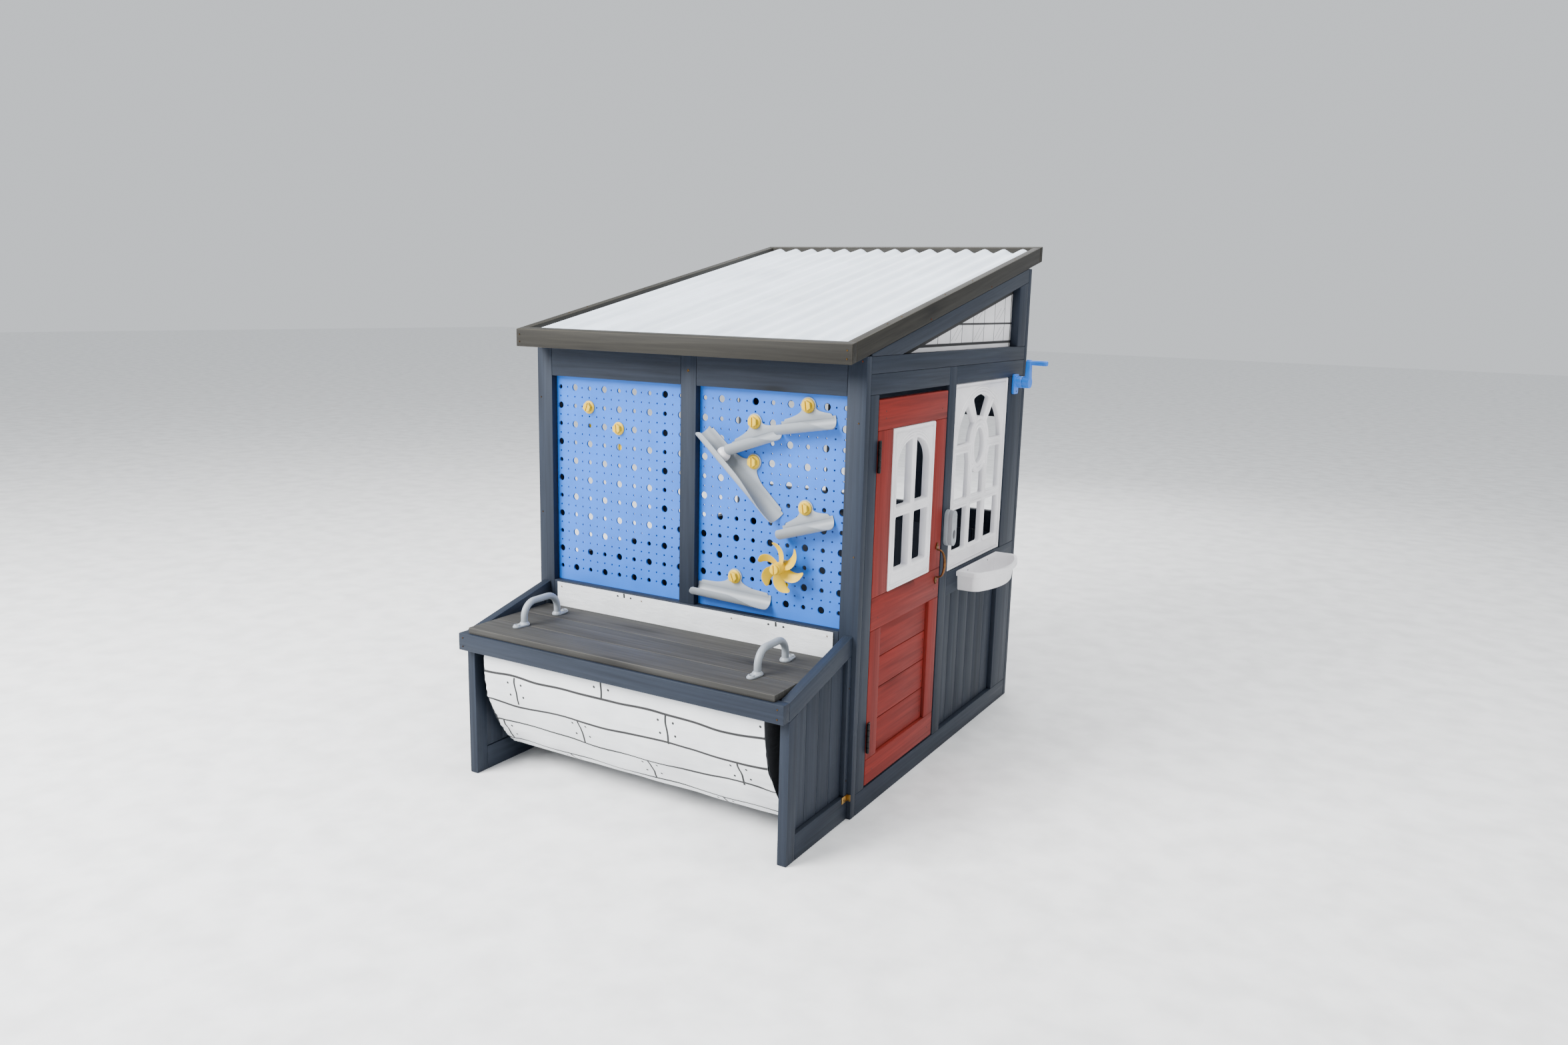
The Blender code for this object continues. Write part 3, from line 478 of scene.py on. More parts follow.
@dataclass(frozen=True)
class RoofPlastic(Finish):
    """Milky corrugated roofing: faint run-off streaks and cloudy patches of dust."""

    colour: Triple

    def dress(self, graph: Graph) -> dict[str, Any]:
        """Streaks follow the fall of the roof."""
        place = graph.add("ShaderNodeTexCoord", {}, {}, "Object")
        streak = graph.noise(place, (46.0, 1.1, 1.1), 4.0)
        cloud = graph.noise(place, (5.0, 5.0, 5.0), 3.0)
        fine = graph.noise(place, (700.0, 700.0, 700.0), 2.0)
        grey = tuple(c * 0.80 for c in self.colour)
        tone = streak * 0.6 + cloud * 0.5
        body = graph.ramp(tone, (0.40, grey), (0.66, self.colour))
        return {"Base Color": body, "Roughness": 0.34 + 0.2 * streak,
                "Normal": graph.bump(fine * 0.4 + streak, 0.0003, 0.4)}


@dataclass(frozen=True)
class Canvas(Finish):
    """White woven canvas with a printed pattern; UV is in metres on the cloth."""

    cloth: Triple
    ink: Triple
    print_on: Callable[[Graph, Value, Value], Value]

    def dress(self, graph: Graph) -> dict[str, Any]:
        """Weave, slight soiling, and the print."""
        uv = graph.add("ShaderNodeUVMap", {"uv_map": "cloth"})
        u, v, _ = graph.split(uv)
        weave = (u * 4200.0).math("SINE") * (v * 4200.0).math("SINE")
        soil = graph.noise(uv, (7.0, 7.0, 7.0), 4.0)
        crease = graph.noise(uv, (22.0, 60.0, 1.0), 3.0, 0.6)
        body = graph.ramp(soil, (0.32, tuple(c * 0.86 for c in self.cloth)), (0.60, self.cloth))
        body = graph.mix(self.print_on(graph, u, v), body, (*self.ink, 1.0))
        return {"Base Color": body, "Roughness": 0.72 + 0.12 * soil,
                "Normal": graph.bump(weave * 0.10 + crease * 1.5, 0.0022, 0.6)}


def thin_line(distance: Value, half: float) -> Value:
    """1 within half of a line, fading over a third of its width."""
    return 1.0 - distance.math("ABSOLUTE").smooth(half * 0.75, half * 1.25)


def plank_print(graph: Graph, u: Value, v: Value) -> Value:
    """Drawn planks: wavy lines, a joint every so often, nail heads beside it."""
    pitch, length, first = 0.083, 0.500, 0.061
    level = (v - first) / pitch
    nearest = level.math("ROUND")
    place = graph.xyz(u * 4.6, nearest * 3.7)
    wave = graph.add("ShaderNodeTexNoise", {}, {"Vector": place, "Scale": 1.0, "Detail": 0.6}) - 0.5
    long_line = thin_line((level - nearest) * pitch - wave * 0.040, 0.0034)
    row = level.math("FLOOR")
    shifted = (u - 0.161 - row * 0.203) / length
    across = (shifted - shifted.math("ROUND")) * length + (level * 7.0).math("SINE") * 0.0016
    mark = thin_line(across, 0.0030)
    side = across.math("ABSOLUTE") - 0.023
    height = ((level - row) * pitch - 0.036).math("ABSOLUTE") - 0.018
    nail = 1.0 - (side * side + height * height).math("SQRT").smooth(0.0028, 0.0042)
    return long_line.math("MAXIMUM", mark).math("MAXIMUM", nail) * 0.985


def pane_print(graph: Graph, u: Value, v: Value) -> Value:
    """A drawn window: uprights, a bar, a sill, borders, and glints in every other pane."""
    pitch, bar, sill = 0.0885, 0.0850, 0.0275
    slope = (v - u * SLOPE + 0.0250).smooth(0.0, 0.0015)
    frame = slope.math("MAXIMUM", thin_line(u - 0.9385, 0.0036)).math("MAXIMUM", thin_line(v - sill, 0.0042))
    frame = frame.math("MAXIMUM", thin_line(v - bar, 0.0029))
    count = (u - 0.3500) / pitch
    upright = thin_line((count - count.math("ROUND")) * pitch, 0.0018)
    foot = (v > bar) * 0.0590 + 0.0410
    lean = count.math("FRACT") * pitch - (v - foot) * 1.35
    glint = thin_line(lean - 0.012, 0.0014).math("MAXIMUM", thin_line(lean - 0.042, 0.0014))
    reach = (v > foot - 0.0030) * (1.0 - (v > foot + 0.0330)) * ((count * 0.5).math("FRACT") > 0.5)
    drawn = upright.math("MAXIMUM", glint * reach * 0.7) * (v > sill) * (1.0 - (u > 0.9385))
    return frame.math("MAXIMUM", drawn) * 0.98


def hem_fold_shade(graph: Graph, u: Value, v: Value) -> Value:
    """No print, only a faint line of painted shade along the fold of a hem."""
    return thin_line(v - 0.006, 0.0009) * 0.25


# ---------------------------------------------------------------------- shapes
def new_mesh(name: str, points: Sequence[Any], edges: Sequence[Any] = (),
             faces: Sequence[Any] = ()) -> bpy.types.Mesh:
    """A mesh from plain lists."""
    mesh = bpy.data.meshes.new(name)
    mesh.from_pydata(points, edges, faces)
    return mesh


def linked(name: str, data: bpy.types.ID) -> bpy.types.Object:
    """A new object in the scene."""
    obj = bpy.data.objects.new(name, data)
    bpy.context.scene.collection.objects.link(obj)
    return obj


def smooth(mesh: bpy.types.Mesh, crease: float) -> bpy.types.Mesh:
    """Shade a mesh smooth up to a crease angle in degrees."""
    mesh.shade_smooth()
    mesh.set_sharp_from_angle(angle=math.radians(crease))
    return mesh


def bake(holder: bpy.types.Object, name: str, crease: float) -> bpy.types.Object:
    """What a holder's modifiers make, as a plain object; the holder is let go."""
    bpy.context.view_layer.update()
    evaluated = holder.evaluated_get(bpy.context.evaluated_depsgraph_get())
    mesh = bpy.data.meshes.new_from_object(evaluated)
    bpy.data.objects.remove(holder)
    mesh.name = name
    return bpy.data.objects.new(name, smooth(mesh, crease))


def grid_faces(rows: int, columns: int) -> list[list[int]]:
    """Faces of a grid of points that were noted row by row."""
    corners = (0, 1, columns + 2, columns + 1)
    return [[i * (columns + 1) + k + c for c in corners] for i in range(rows) for k in range(columns)]


def settle(obj: bpy.types.Object, body: str, replaces: Sequence[str], slot: str) -> bpy.types.Object:
    """Link a finished piece, let it ride on its body and report it.

    Args:
        obj: The piece, its place already in its mesh.
        body: The frame body that carries it.
        replaces: Frame nodes that it stands for.
        slot: Not used.

    Returns:
        The same piece.
    """
    if obj.name not in bpy.context.scene.collection.objects:
        bpy.context.scene.collection.objects.link(obj)
    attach(obj, body)
    if replaces:
        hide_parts(*replaces)
    log.info("%-24s %6d faces on %s", obj.name, len(obj.data.polygons), body)
    return obj


class Shape:
    """Gathers closed shells, in house coordinates, into one piece."""

    def __init__(self, name: str, crease: float = 35.0) -> None:
        """Start an empty piece whose faces are smooth up to a crease angle."""
        self.name = name
        self.crease = crease
        self.points: list[Vector] = []
        self.faces: list[list[int]] = []

    def take(self, bm: bmesh.types.BMesh, soften: float = 0.0, steps: int = 2) -> list[bmesh.types.BMVert]:
        """Take a closed shell, facing out, its sharp edges softened.

        Args:
            bm: The shell.
            soften: Width of the softened edge.
            steps: Faces across it.

        Returns:
            The shell's vertices, which stay alive until the next call.
        """
        bmesh.ops.remove_doubles(bm, verts=bm.verts, dist=2e-6)
        bmesh.ops.recalc_face_normals(bm, faces=bm.faces)
        if soften > 0.0:
            sharp = [e for e in bm.edges if e.is_manifold and e.calc_face_angle(0.0) > math.radians(28.0)]
            bmesh.ops.bevel(bm, geom=sharp, offset=soften, offset_type='OFFSET', segments=steps,
                            profile=0.5, affect='EDGES', clamp_overlap=True)
        bm.verts.index_update()
        start = len(self.points)
        self.points += [v.co.copy() for v in bm.verts]
        self.faces += [[v.index + start for v in f.verts] for f in bm.faces]
        return list(bm.verts)

    def box(self, low: Point, high: Point, soften: float = 0.001) -> "Shape":
        """Add a box with softened edges."""
        bm = cube_shell(low, high)
        self.take(bm, soften)
        bm.free()
        return self

    def plate(self, outer: Outline, holes: Sequence[Outline], axis: str,
              low: float, high: float, soften: float = 0.001, steps: int = 2) -> "Shape":
        """Add a flat plate with holes.

        Args:
            outer: Outline in the two directions across the axis.
            holes: Outlines of the holes.
            axis: Direction of the thickness: "x", "y" or "z".
            low: First face, along the axis.
            high: Second face.
            soften: Width of the softened edges.
            steps: Faces across them.

        Returns:
            This shape.
        """
        bm = bmesh.new()
        loops = [outer, *holes]
        flat = [Vector((*p, 0.0)) for loop in loops for p in loop]
        sides = {}
        for along in (low, high):
            sides[along] = [bm.verts.new(place_at(p.x, p.y, along, axis)) for p in flat]
        if holes:
            tris = tessellate_polygon([[Vector((*p, 0.0)) for p in loop] for loop in loops])
            for ring in sides.values():
                for tri in tris:
                    bm.faces.new([ring[i] for i in tri])
        else:
            for ring in sides.values():
                bm.faces.new(ring)
        start = 0
        for loop in loops:
            for i in range(len(loop)):
                a, b = start + i, start + (i + 1) % len(loop)
                bm.faces.new((sides[low][a], sides[low][b], sides[high][b], sides[high][a]))
            start += len(loop)
        bmesh.ops.recalc_face_normals(bm, faces=bm.faces)
        bmesh.ops.dissolve_limit(bm, angle_limit=math.radians(0.5), verts=bm.verts, edges=bm.edges,
                                 delimit={'NORMAL'})
        self.take(bm, soften, steps)
        bm.free()
        return self

    def loft(self, rings: Sequence[Sequence[Point]], closed: bool = False) -> "Shape":
        """Add a shell through rings of equal length.

        Args:
            rings: The rings, each closed on itself.
            closed: True if the last ring joins the first, as on a hoop.

        Returns:
            This shape.
        """
        bm = bmesh.new()
        made = [[bm.verts.new(p) for p in ring] for ring in rings]
        pairs = list(zip(made, made[1:]))
        if closed:
            pairs.append((made[-1], made[0]))
        for first, second in pairs:
            for k in range(len(first)):
                n = (k + 1) % len(first)
                bm.faces.new((first[k], first[n], second[n], second[k]))
        if not closed:
            bm.faces.new(list(reversed(made[0])))
            bm.faces.new(made[-1])
        self.take(bm)
        bm.free()
        return self

    def lathe(self, profile: Outline, centre: Point, axis: str, steps: int = 28) -> "Shape":
        """Add a turned shell.

        Args:
            profile: (radius, along) pairs from one end of the axis to the other.
            centre: Where the axis starts.
            axis: Its direction.
            steps: Faces round it.

        Returns:
            This shape.
        """
        rings = []
        for radius, along in profile:
            ring = oval((0.0, 0.0), max(radius, 1e-5), max(radius, 1e-5), steps)
            rings.append([Vector(centre) + place_at(a, b, along, axis) for a, b in ring])
        return self.loft(rings)

    def sweep(self, path: Sequence[Point], section: Outline, up: Point,
              closed: bool = False) -> "Shape":
        """Add a closed section swept along a path.

        Args:
            path: Points of the path.
            section: Outline: its first number lies across the path, its second along up.
            up: A direction square to the path.
            closed: True if the path is a loop.

        Returns:
            This shape.
        """
        points, rings = [Vector(p) for p in path], []
        last = len(points) - 1
        for i, point in enumerate(points):
            before = points[i - 1] if i or closed else point
            after = points[(i + 1) % len(points)] if i < last or closed else point
            ahead = (point - before).normalized() + (after - point).normalized()
            side = ahead.cross(Vector(up)).normalized()
            high = side.cross(ahead).normalized()
            rings.append([point + side * a + high * b for a, b in section])
        return self.loft(rings, closed)

    def tube(self, path: Sequence[Point], radius: float, sides: int, up: Point) -> "Shape":
        """Add a round bar along a path, its ends closed flat."""
        points = [Vector(p) for p in path]
        ring = oval((0.0, 0.0), radius, radius, sides)
        return self.sweep(points, ring, up)

    def mesh(self) -> bpy.types.Mesh:
        """The gathered shells as one mesh in the object's frame."""
        return smooth(new_mesh(self.name, [p + HOUSE for p in self.points], (), self.faces), self.crease)

    def build(self, finish: Finish, *replaces: str, body: str = "house", slot: str = "") -> bpy.types.Object:
        """Make the piece, dress it and let it ride on its body.

        Args:
            finish: What it looks like.
            replaces: Frame nodes that it stands for.
            body: The frame body that carries it.
            slot: Handed on to settle, which does not use it; the finish's own name unless it is given.

        Returns:
            The finished piece.
        """
        mesh = self.mesh()
        mesh.materials.append(finish.material())
        obj = bpy.data.objects.new(self.name, mesh)
        return settle(obj, body, replaces, slot or finish.name)


def place_at(first: float, second: float, along: float, axis: str) -> Vector:
    """A point from two numbers across an axis and one along it."""
    if axis == "x":
        return Vector((along, first, second))
    return Vector((first, along, second)) if axis == "y" else Vector((first, second, along))


def cube_shell(low: Point, high: Point) -> bmesh.types.BMesh:
    """A box as a new shell."""
    bm = bmesh.new()
    size = Matrix.Diagonal((*(Vector(high) - Vector(low)), 1.0))
    bmesh.ops.create_cube(bm, size=1.0, matrix=Matrix.Translation((Vector(low) + Vector(high)) / 2.0) @ size)
    return bm


class Timber(Shape):
    """Boards, each with its own run of grain."""

    def __init__(self, name: str) -> None:
        """Start with no boards, and a fixed seed that the name gives."""
        super().__init__(name, 40.0)
        self.chance = random.Random(name)
        self.wood: list[float] = []
        self.edge: list[float] = []

    def keep(self, bm: bmesh.types.BMesh, along: Point, soften: float) -> "Timber":
        """Take a board, and note where the grain runs in it.

        Args:
            bm: The board's shell.
            along: Direction of the grain.
            soften: Width of its softened edges.

        Returns:
            This timber.
        """
        bmesh.ops.recalc_face_normals(bm, faces=bm.faces)
        flats = [f.normal.copy() for f in bm.faces]
        verts = self.take(bm, soften)
        bm.normal_update()
        ahead = Vector(along).normalized()
        side = ahead.cross(Vector((0.31, 0.64, 0.70))).normalized()
        high = ahead.cross(side)
        shift = [self.chance.uniform(0.0, 40.0) for _ in range(3)]
        for vert in verts:
            self.wood += [vert.co.dot(axis) + start for axis, start in zip((ahead, side, high), shift)]
            flat = any(abs(f.normal.dot(n)) > 0.996 for f in vert.link_faces for n in flats)
            self.edge.append(0.0 if flat else 1.0)
        bm.free()
        return self

    def board(self, low: Point, high: Point, grain: str = "", soften: float = 0.0022) -> "Timber":
        """Add a straight board; the grain follows its longest side unless it is named."""
        size = Vector(high) - Vector(low)
        axis = grain or "xyz"[max(range(3), key=lambda k: size[k])]
        return self.keep(cube_shell(low, high), place_at(0.0, 0.0, 1.0, axis), soften)

    def cut(self, outline: Outline, axis: str, low: float, high: float, along: Point,
            soften: float = 0.0022) -> "Timber":
        """Add a board that is cut to an outline across an axis."""
        bm = bmesh.new()
        first = [bm.verts.new(place_at(a, b, low, axis)) for a, b in outline]
        second = [bm.verts.new(place_at(a, b, high, axis)) for a, b in outline]
        bm.faces.new(first)
        bm.faces.new(list(reversed(second)))
        for i in range(len(outline)):
            j = (i + 1) % len(outline)
            bm.faces.new((first[i], second[i], second[j], first[j]))
        return self.keep(bm, along, soften)

    def row(self, low: Point, high: Point, across: str, count: int,
            grain: str) -> "Timber":
        """Fill a panel with equal boards that meet in open V joints."""
        axis = "xyz".index(across)
        step = (high[axis] - low[axis]) / count
        for i in range(count):
            first, last = list(low), list(high)
            first[axis] = low[axis] + step * i + 0.0002
            last[axis] = low[axis] + step * (i + 1) - 0.0002
            self.board(first, last, grain, 0.0030)
        return self

    def mesh(self) -> bpy.types.Mesh:
        """The boards as one mesh, with their grain stored on it."""
        mesh = super().mesh()
        mesh.attributes.new("wood", 'FLOAT_VECTOR', 'POINT').data.foreach_set("vector", self.wood)
        mesh.attributes.new("edge", 'FLOAT', 'POINT').data.foreach_set("value", self.edge)
        return mesh


# -------------------------------------------------------------- geometry nodes
class Recipe:
    """A geometry node tree that is run once on a seed mesh and then let go."""

    def __init__(self, name: str, sizes: dict[str, float]) -> None:
        """Make the tree, with one named input for each size."""
        self.tree = bpy.data.node_groups.new(name, 'GeometryNodeTree')
        self.sizes = sizes
        face = self.tree.interface
        face.new_socket("Geometry", in_out='INPUT', socket_type='NodeSocketGeometry')
        self.keys = {n: face.new_socket(n, in_out='INPUT', socket_type='NodeSocketFloat').identifier
                     for n in sizes}
        face.new_socket("Geometry", in_out='OUTPUT', socket_type='NodeSocketGeometry')
        self.graph = Graph(self.tree)
        self.seed = self.graph.add("NodeGroupInput")

    def size(self, name: str) -> Value:
        """One of the named inputs."""
        return self.seed.other(name)

    def finish(self, shape: Value, finish: Finish) -> None:
        """End the tree: realise what was instanced, and set the material."""
        real = self.graph.add("GeometryNodeRealizeInstances", {}, {0: shape})
        dressed = self.graph.add("GeometryNodeSetMaterial", {}, {
            "Geometry": real, "Material": finish.material()})
        end = self.tree.nodes.new("NodeGroupOutput")
        self.tree.links.new(dressed.socket, end.inputs[0])

    def run(self, name: str, seed: bpy.types.Mesh, crease: float = 35.0) -> bpy.types.Object:
        """Run the tree on a seed mesh.

        Args:
            name: Name of the new piece.
            seed: The mesh that goes in.
            crease: Faces are smooth up to this angle.

        Returns:
            An object with a plain mesh and no modifier.
        """
        holder = linked(name + ".seed", seed)
        modifier = holder.modifiers.new("recipe", 'NODES')
        modifier.node_group = self.tree
        for size, value in self.sizes.items():
            modifier[self.keys[size]] = value
        made = bake(holder, name, crease)
        bpy.data.node_groups.remove(self.tree)
        return made


# ---------------------------------------------------------------------- finishes used
BLUE_STAIN = StainedWood("blue_stain", paint(20, 27, 38), paint(33, 42, 56), paint(58, 66, 78),
                         0.12, 0.30, 0.60)
ROOF_STAIN = StainedWood("roof_stain", paint(22, 20, 17), paint(43, 41, 35), paint(76, 70, 58), 0.15, 0.45)
DOOR_STAIN = StainedWood("door_stain", paint(86, 14, 7), paint(133, 26, 13), paint(142, 50, 33),
                         0.42, 0.20, 0.62)
GREY_PLANK = StainedWood("grey_plank", paint(40, 39, 37), paint(65, 64, 61), paint(90, 88, 84),
                         0.25, 0.50, 0.70)
SHEET = RoofPlastic("roof_sheet", paint(222, 232, 244))
SKY = Moulded("sky_plastic", paint(8, 106, 212), 0.50, 0.08, 0.3)
WHITE = Moulded("white_plastic", paint(240, 238, 240), 0.34, 0.08, 0.15)
GREY = Moulded("grey_plastic", paint(146, 152, 158), 0.44, 0.12, 0.3)
YELLOW = Moulded("yellow_plastic", paint(222, 182, 0), 0.50, 0.02, 0.2)
CRANK_BLUE = Moulded("blue_plastic", paint(20, 116, 222), 0.38, 0.10, 0.2)
DARK = Moulded("dark_plastic", paint(70, 72, 76), 0.45, 0.10, 0.2)
CANVAS = Canvas("plank_canvas", paint(238, 240, 242), paint(16, 17, 18), plank_print)
PANEL = Canvas("pane_canvas", paint(238, 236, 238), paint(14, 15, 17), pane_print)
PLAIN = Canvas("plain_canvas", paint(236, 238, 240), paint(120, 122, 124), hem_fold_shade)
# Dark cloth of the bin sling's end panels: painted shade, standing for the shade in the gap beside the bin
# sides.
END_PANEL_SHADE = Canvas("dark_lining", paint(44, 46, 50), paint(30, 30, 32), hem_fold_shade)
STEEL = Metal("black_steel", paint(20, 20, 22), 0.45, 0.6)
BRONZE = Metal("bronze", paint(120, 84, 52), 0.36)
BRASS = Metal("brass", paint(176, 138, 74), 0.34)
COPPER = Metal("copper", paint(196, 112, 66), 0.35)
NAIL = Metal("nail_head", paint(52, 44, 42), 0.6, 0.4)
THREAD = Moulded("thread", paint(226, 226, 224), 0.8, 0.0, 0.1)


class Fixing(Enum):
    """The kinds of small fixing, with head radius, head height and finish."""

    BRASS_SCREW = (0.0036, 0.0016, BRASS)
    BRASS_BOLT = (0.0062, 0.0026, BRASS)
    COPPER_SCREW = (0.0034, 0.0014, COPPER)
    BLACK_SCREW = (0.0030, 0.0012, STEEL)
    GREY_SCREW = (0.0040, 0.0016, STEEL)
    NAIL_HEAD = (0.0021, 0.0006, NAIL)


@dataclass
class Fixings:
    """Screws, bolts and nails, gathered by kind and by the body that they ride on."""

    places: dict[tuple[str, Fixing], list[tuple[Vector, Vector]]] = field(default_factory=dict)

    def add(self, kind: Fixing, facing: str, *points: Point, body: str = "house") -> None:
        """Note fixings whose heads face "+x", "-y" and so on."""
        normal = Vector((0.0, 0.0, 0.0))
        normal["xyz".index(facing[1])] = 1.0 if facing[0] == "+" else -1.0
        self.slanted(kind, normal, *points, body=body)

    def slanted(self, kind: Fixing, normal: Vector, *points: Point, body: str = "house") -> None:
        """Note fixings whose heads face along any normal."""
        held = self.places.setdefault((body, kind), [])
        held += [(Vector(p) + HOUSE, normal.normalized()) for p in points]

    def seed(self, name: str, places: Sequence[tuple[Vector, Vector]]) -> bpy.types.Mesh:
        """A mesh of loose points that carry the direction of each head."""
        mesh = new_mesh(name, [p for p, _ in places])
        facing = mesh.attributes.new("facing", 'FLOAT_VECTOR', 'POINT')
        facing.data.foreach_set("vector", [c for _, n in places for c in n])
        return mesh

    def build(self) -> None:
        """One mesh for each body and kind, its heads placed by geometry nodes."""
        for (body, kind), places in self.places.items():
            radius, height, finish = kind.value
            recipe = Recipe("heads", {"Radius": radius, "Height": height})
            graph, size = recipe.graph, recipe.size
            wide, tall = size("Radius"), size("Height")
            ball = graph.add("GeometryNodeMeshUVSphere", {}, {"Segments": 16, "Rings": 8, "Radius": wide})
            flat = graph.xyz(1.0, 1.0, tall / wide)
            head = graph.add("GeometryNodeTransform", {}, {"Geometry": ball, "Scale": flat})
            if kind is not Fixing.NAIL_HEAD:
                cuts = []
                for x, y in ((1.15, 0.30), (0.30, 1.15)):
                    bar = graph.xyz(wide * x, wide * y, tall)
                    cube = graph.add("GeometryNodeMeshCube", {}, {"Size": bar})
                    cuts.append(graph.add("GeometryNodeTransform", {}, {
                        "Geometry": cube, "Translation": graph.xyz(z=tall * 0.95)}))
                head = graph.add("GeometryNodeMeshBoolean", {"operation": 'DIFFERENCE'},
                                 {"Mesh 1": head, "Mesh 2": graph.join(*cuts)})
            turn = graph.add("FunctionNodeAlignRotationToVector", {"axis": 'Z'},
                             {"Vector": graph.named("facing", 'FLOAT_VECTOR')})
            spin = graph.add("FunctionNodeRandomValue", {"data_type": 'FLOAT'},
                             {2: 0.0, 3: 6.28, "Seed": 7}, 1)
            about = graph.add("FunctionNodeEulerToRotation", {}, {0: graph.xyz(z=spin)})
            turn = graph.add("FunctionNodeRotateRotation", {"rotation_space": 'LOCAL'}, {0: turn, 1: about})
            heads = graph.add("GeometryNodeInstanceOnPoints", {}, {
                "Points": recipe.seed, "Instance": head, "Rotation": turn})
            recipe.finish(heads, finish)
            name = f"{kind.name.lower()}s_{body}"
            settle(recipe.run(name, self.seed(name, places), 30.0), body, (), "")


# ------------------------------------------------------------------ front wall
@dataclass
class Pegboard:
    """A moulded board: one hole in every cell, in a checkerboard of sizes."""

    node: str
    first_x: float
    columns: int = 9
    rows: int = 11
    weld: float = 0.00002
    sizes: dict[str, float] = field(default_factory=lambda: {
        "Cell": 0.02625, "Big": 0.0100, "Medium": 0.0066, "Small": 0.0026})

    def seed(self, y: float) -> bpy.types.Mesh:
        """One point for each hole, with its kind: 0 small, 1 medium, 2 big."""
        points, kinds = [], []
        for row in range(2 * self.rows - 1):
            for column in range(2 * self.columns - 1):
                main = row % 2 == 0 and column % 2 == 0
                points.append(Vector((self.first_x + column * PITCH / 2.0, y,
                                      PEG_TOP - row * PITCH / 2.0)) + HOUSE)
                kinds.append((1 + (row // 2 + column // 2) % 2) if main else 0)
        mesh = new_mesh(self.node, points)
        mesh.attributes.new("kind", 'INT', 'POINT').data.foreach_set("value", kinds)
        return mesh

    def tile(self, graph: Graph, cell: Value) -> Value:
        """A square cell with a round hole in it, as a ring of faces."""
        tile = graph.add("GeometryNodeMeshGrid", {}, {
            "Size X": 1.0, "Size Y": 1.0, "Vertices X": 17, "Vertices Y": 2})
        along, across, _ = graph.position()
        turn = (along + 0.5) * math.tau
        rim = across > 0.0
        cos, sin = turn.math("COSINE"), turn.math("SINE")
        far = cell * 0.5 / cos.math("ABSOLUTE").math("MAXIMUM", sin.math("ABSOLUTE"))
        reach = rim * far + (1.0 - rim) * 0.0005
        spot = graph.xyz(cos * reach, 0.0, sin * reach)
        for name, value in (("hole_x", cos * (1.0 - rim)), ("hole_z", sin * (1.0 - rim))):
            tile = graph.add("GeometryNodeStoreNamedAttribute", {"data_type": 'FLOAT', "domain": 'POINT'},
                             {"Geometry": tile, "Name": name, "Value": value})
        return graph.add("GeometryNodeSetPosition", {}, {"Geometry": tile, "Position": spot})

    def build(self) -> None:
        """Instance the cells, open their holes, weld them and give them thickness."""
        low, high = node_box(self.node)
        recipe = Recipe("perforations", {**self.sizes, "Thickness": high.y - low.y, "Left": low.x + HOUSE.x,
                                         "Right": high.x + HOUSE.x, "Bottom": low.z, "Top": high.z})
        graph, size = recipe.graph, recipe.size
        cells = graph.add("GeometryNodeInstanceOnPoints", {}, {
            "Points": recipe.seed, "Instance": self.tile(graph, size("Cell"))})
        sheet = graph.add("GeometryNodeRealizeInstances", {}, {0: cells})
        kind = graph.named("kind")
        bore = ((kind < 0.5) * size("Small") + (kind > 1.5) * size("Big")
                + (1.0 - ((kind - 1.0).math("ABSOLUTE") > 0.5)) * size("Medium") - 0.0005)
        open_up = graph.xyz(graph.named("hole_x") * bore, 0.0, graph.named("hole_z") * bore)
        sheet = graph.add("GeometryNodeSetPosition", {}, {"Geometry": sheet, "Offset": open_up})
        sheet = graph.weld(sheet, self.weld)
        x, _, z = graph.position()
        half = PITCH / 4.0 - 0.0001
        left, right = self.first_x - half, self.first_x + (self.columns - 1) * PITCH + half
        bottom, top = PEG_TOP - (self.rows - 1) * PITCH - half, PEG_TOP + half
        to_x = (x < left + HOUSE.x) * (size("Left") - x) + (x > right + HOUSE.x) * (size("Right") - x)
        to_z = (z < bottom) * (size("Bottom") - z) + (z > top) * (size("Top") - z)
        grow = graph.xyz(to_x, 0.0, to_z)
        sheet = graph.add("GeometryNodeSetPosition", {}, {"Geometry": sheet, "Offset": grow})
        recipe.finish(graph.thicken(sheet, graph.xyz(0.0, size("Thickness")), self.weld), SKY)
        made = recipe.run(self.node + ".holes", self.seed(low.y), 40.0)
        face_out(made.data)
        settle(made, "house", (self.node,), "sky_plastic")


def face_out(mesh: bpy.types.Mesh) -> None:
    """Turn the faces of a closed mesh outwards."""
    bm = bmesh.new()
    bm.from_mesh(mesh)
    bmesh.ops.recalc_face_normals(bm, faces=bm.faces)
    bm.to_mesh(mesh)
    bm.free()


def plain_boards(*nodes: str) -> None:
    """Replace straight frame nodes by softened blue boards of the same size."""
    for node in nodes:
        low, high = node_box(node)
        Timber(node + ".board").board(low, high).build(BLUE_STAIN, node)


@dataclass
class FrontWall:
    """Posts and rails round the two pegboards, and the boards behind the bin."""

    lower_boards: int = 4

    def build(self, fixings: Fixings) -> None:
        """Make the frame, the pegboards and the screws that show."""
        plain_boards("front_post_left", "front_post_right", "front_post_center", "front_top_rail_left",
                     "front_top_rail_right", "front_mid_rail")
        low, high = node_box("front_lower_panel")
        panel = Timber("front_lower_panel.boards").row(low, high, "z", self.lower_boards, "x")
        panel.build(BLUE_STAIN, "front_lower_panel")
        Pegboard("pegboard_left", PEG_LEFT).build()
        Pegboard("pegboard_right", PEG_RIGHT).build()
        fixings.add(Fixing.BRASS_BOLT, "-y", (0.0, 0.0, 1.137))
        fixings.add(Fixing.BRASS_SCREW, "-y", (0.507, 0.0, 1.035), (0.507, 0.0, 0.700))
        fixings.add(Fixing.BRASS_SCREW, "-y", (-0.512, 0.0, 1.035), (-0.512, 0.0, 0.700))


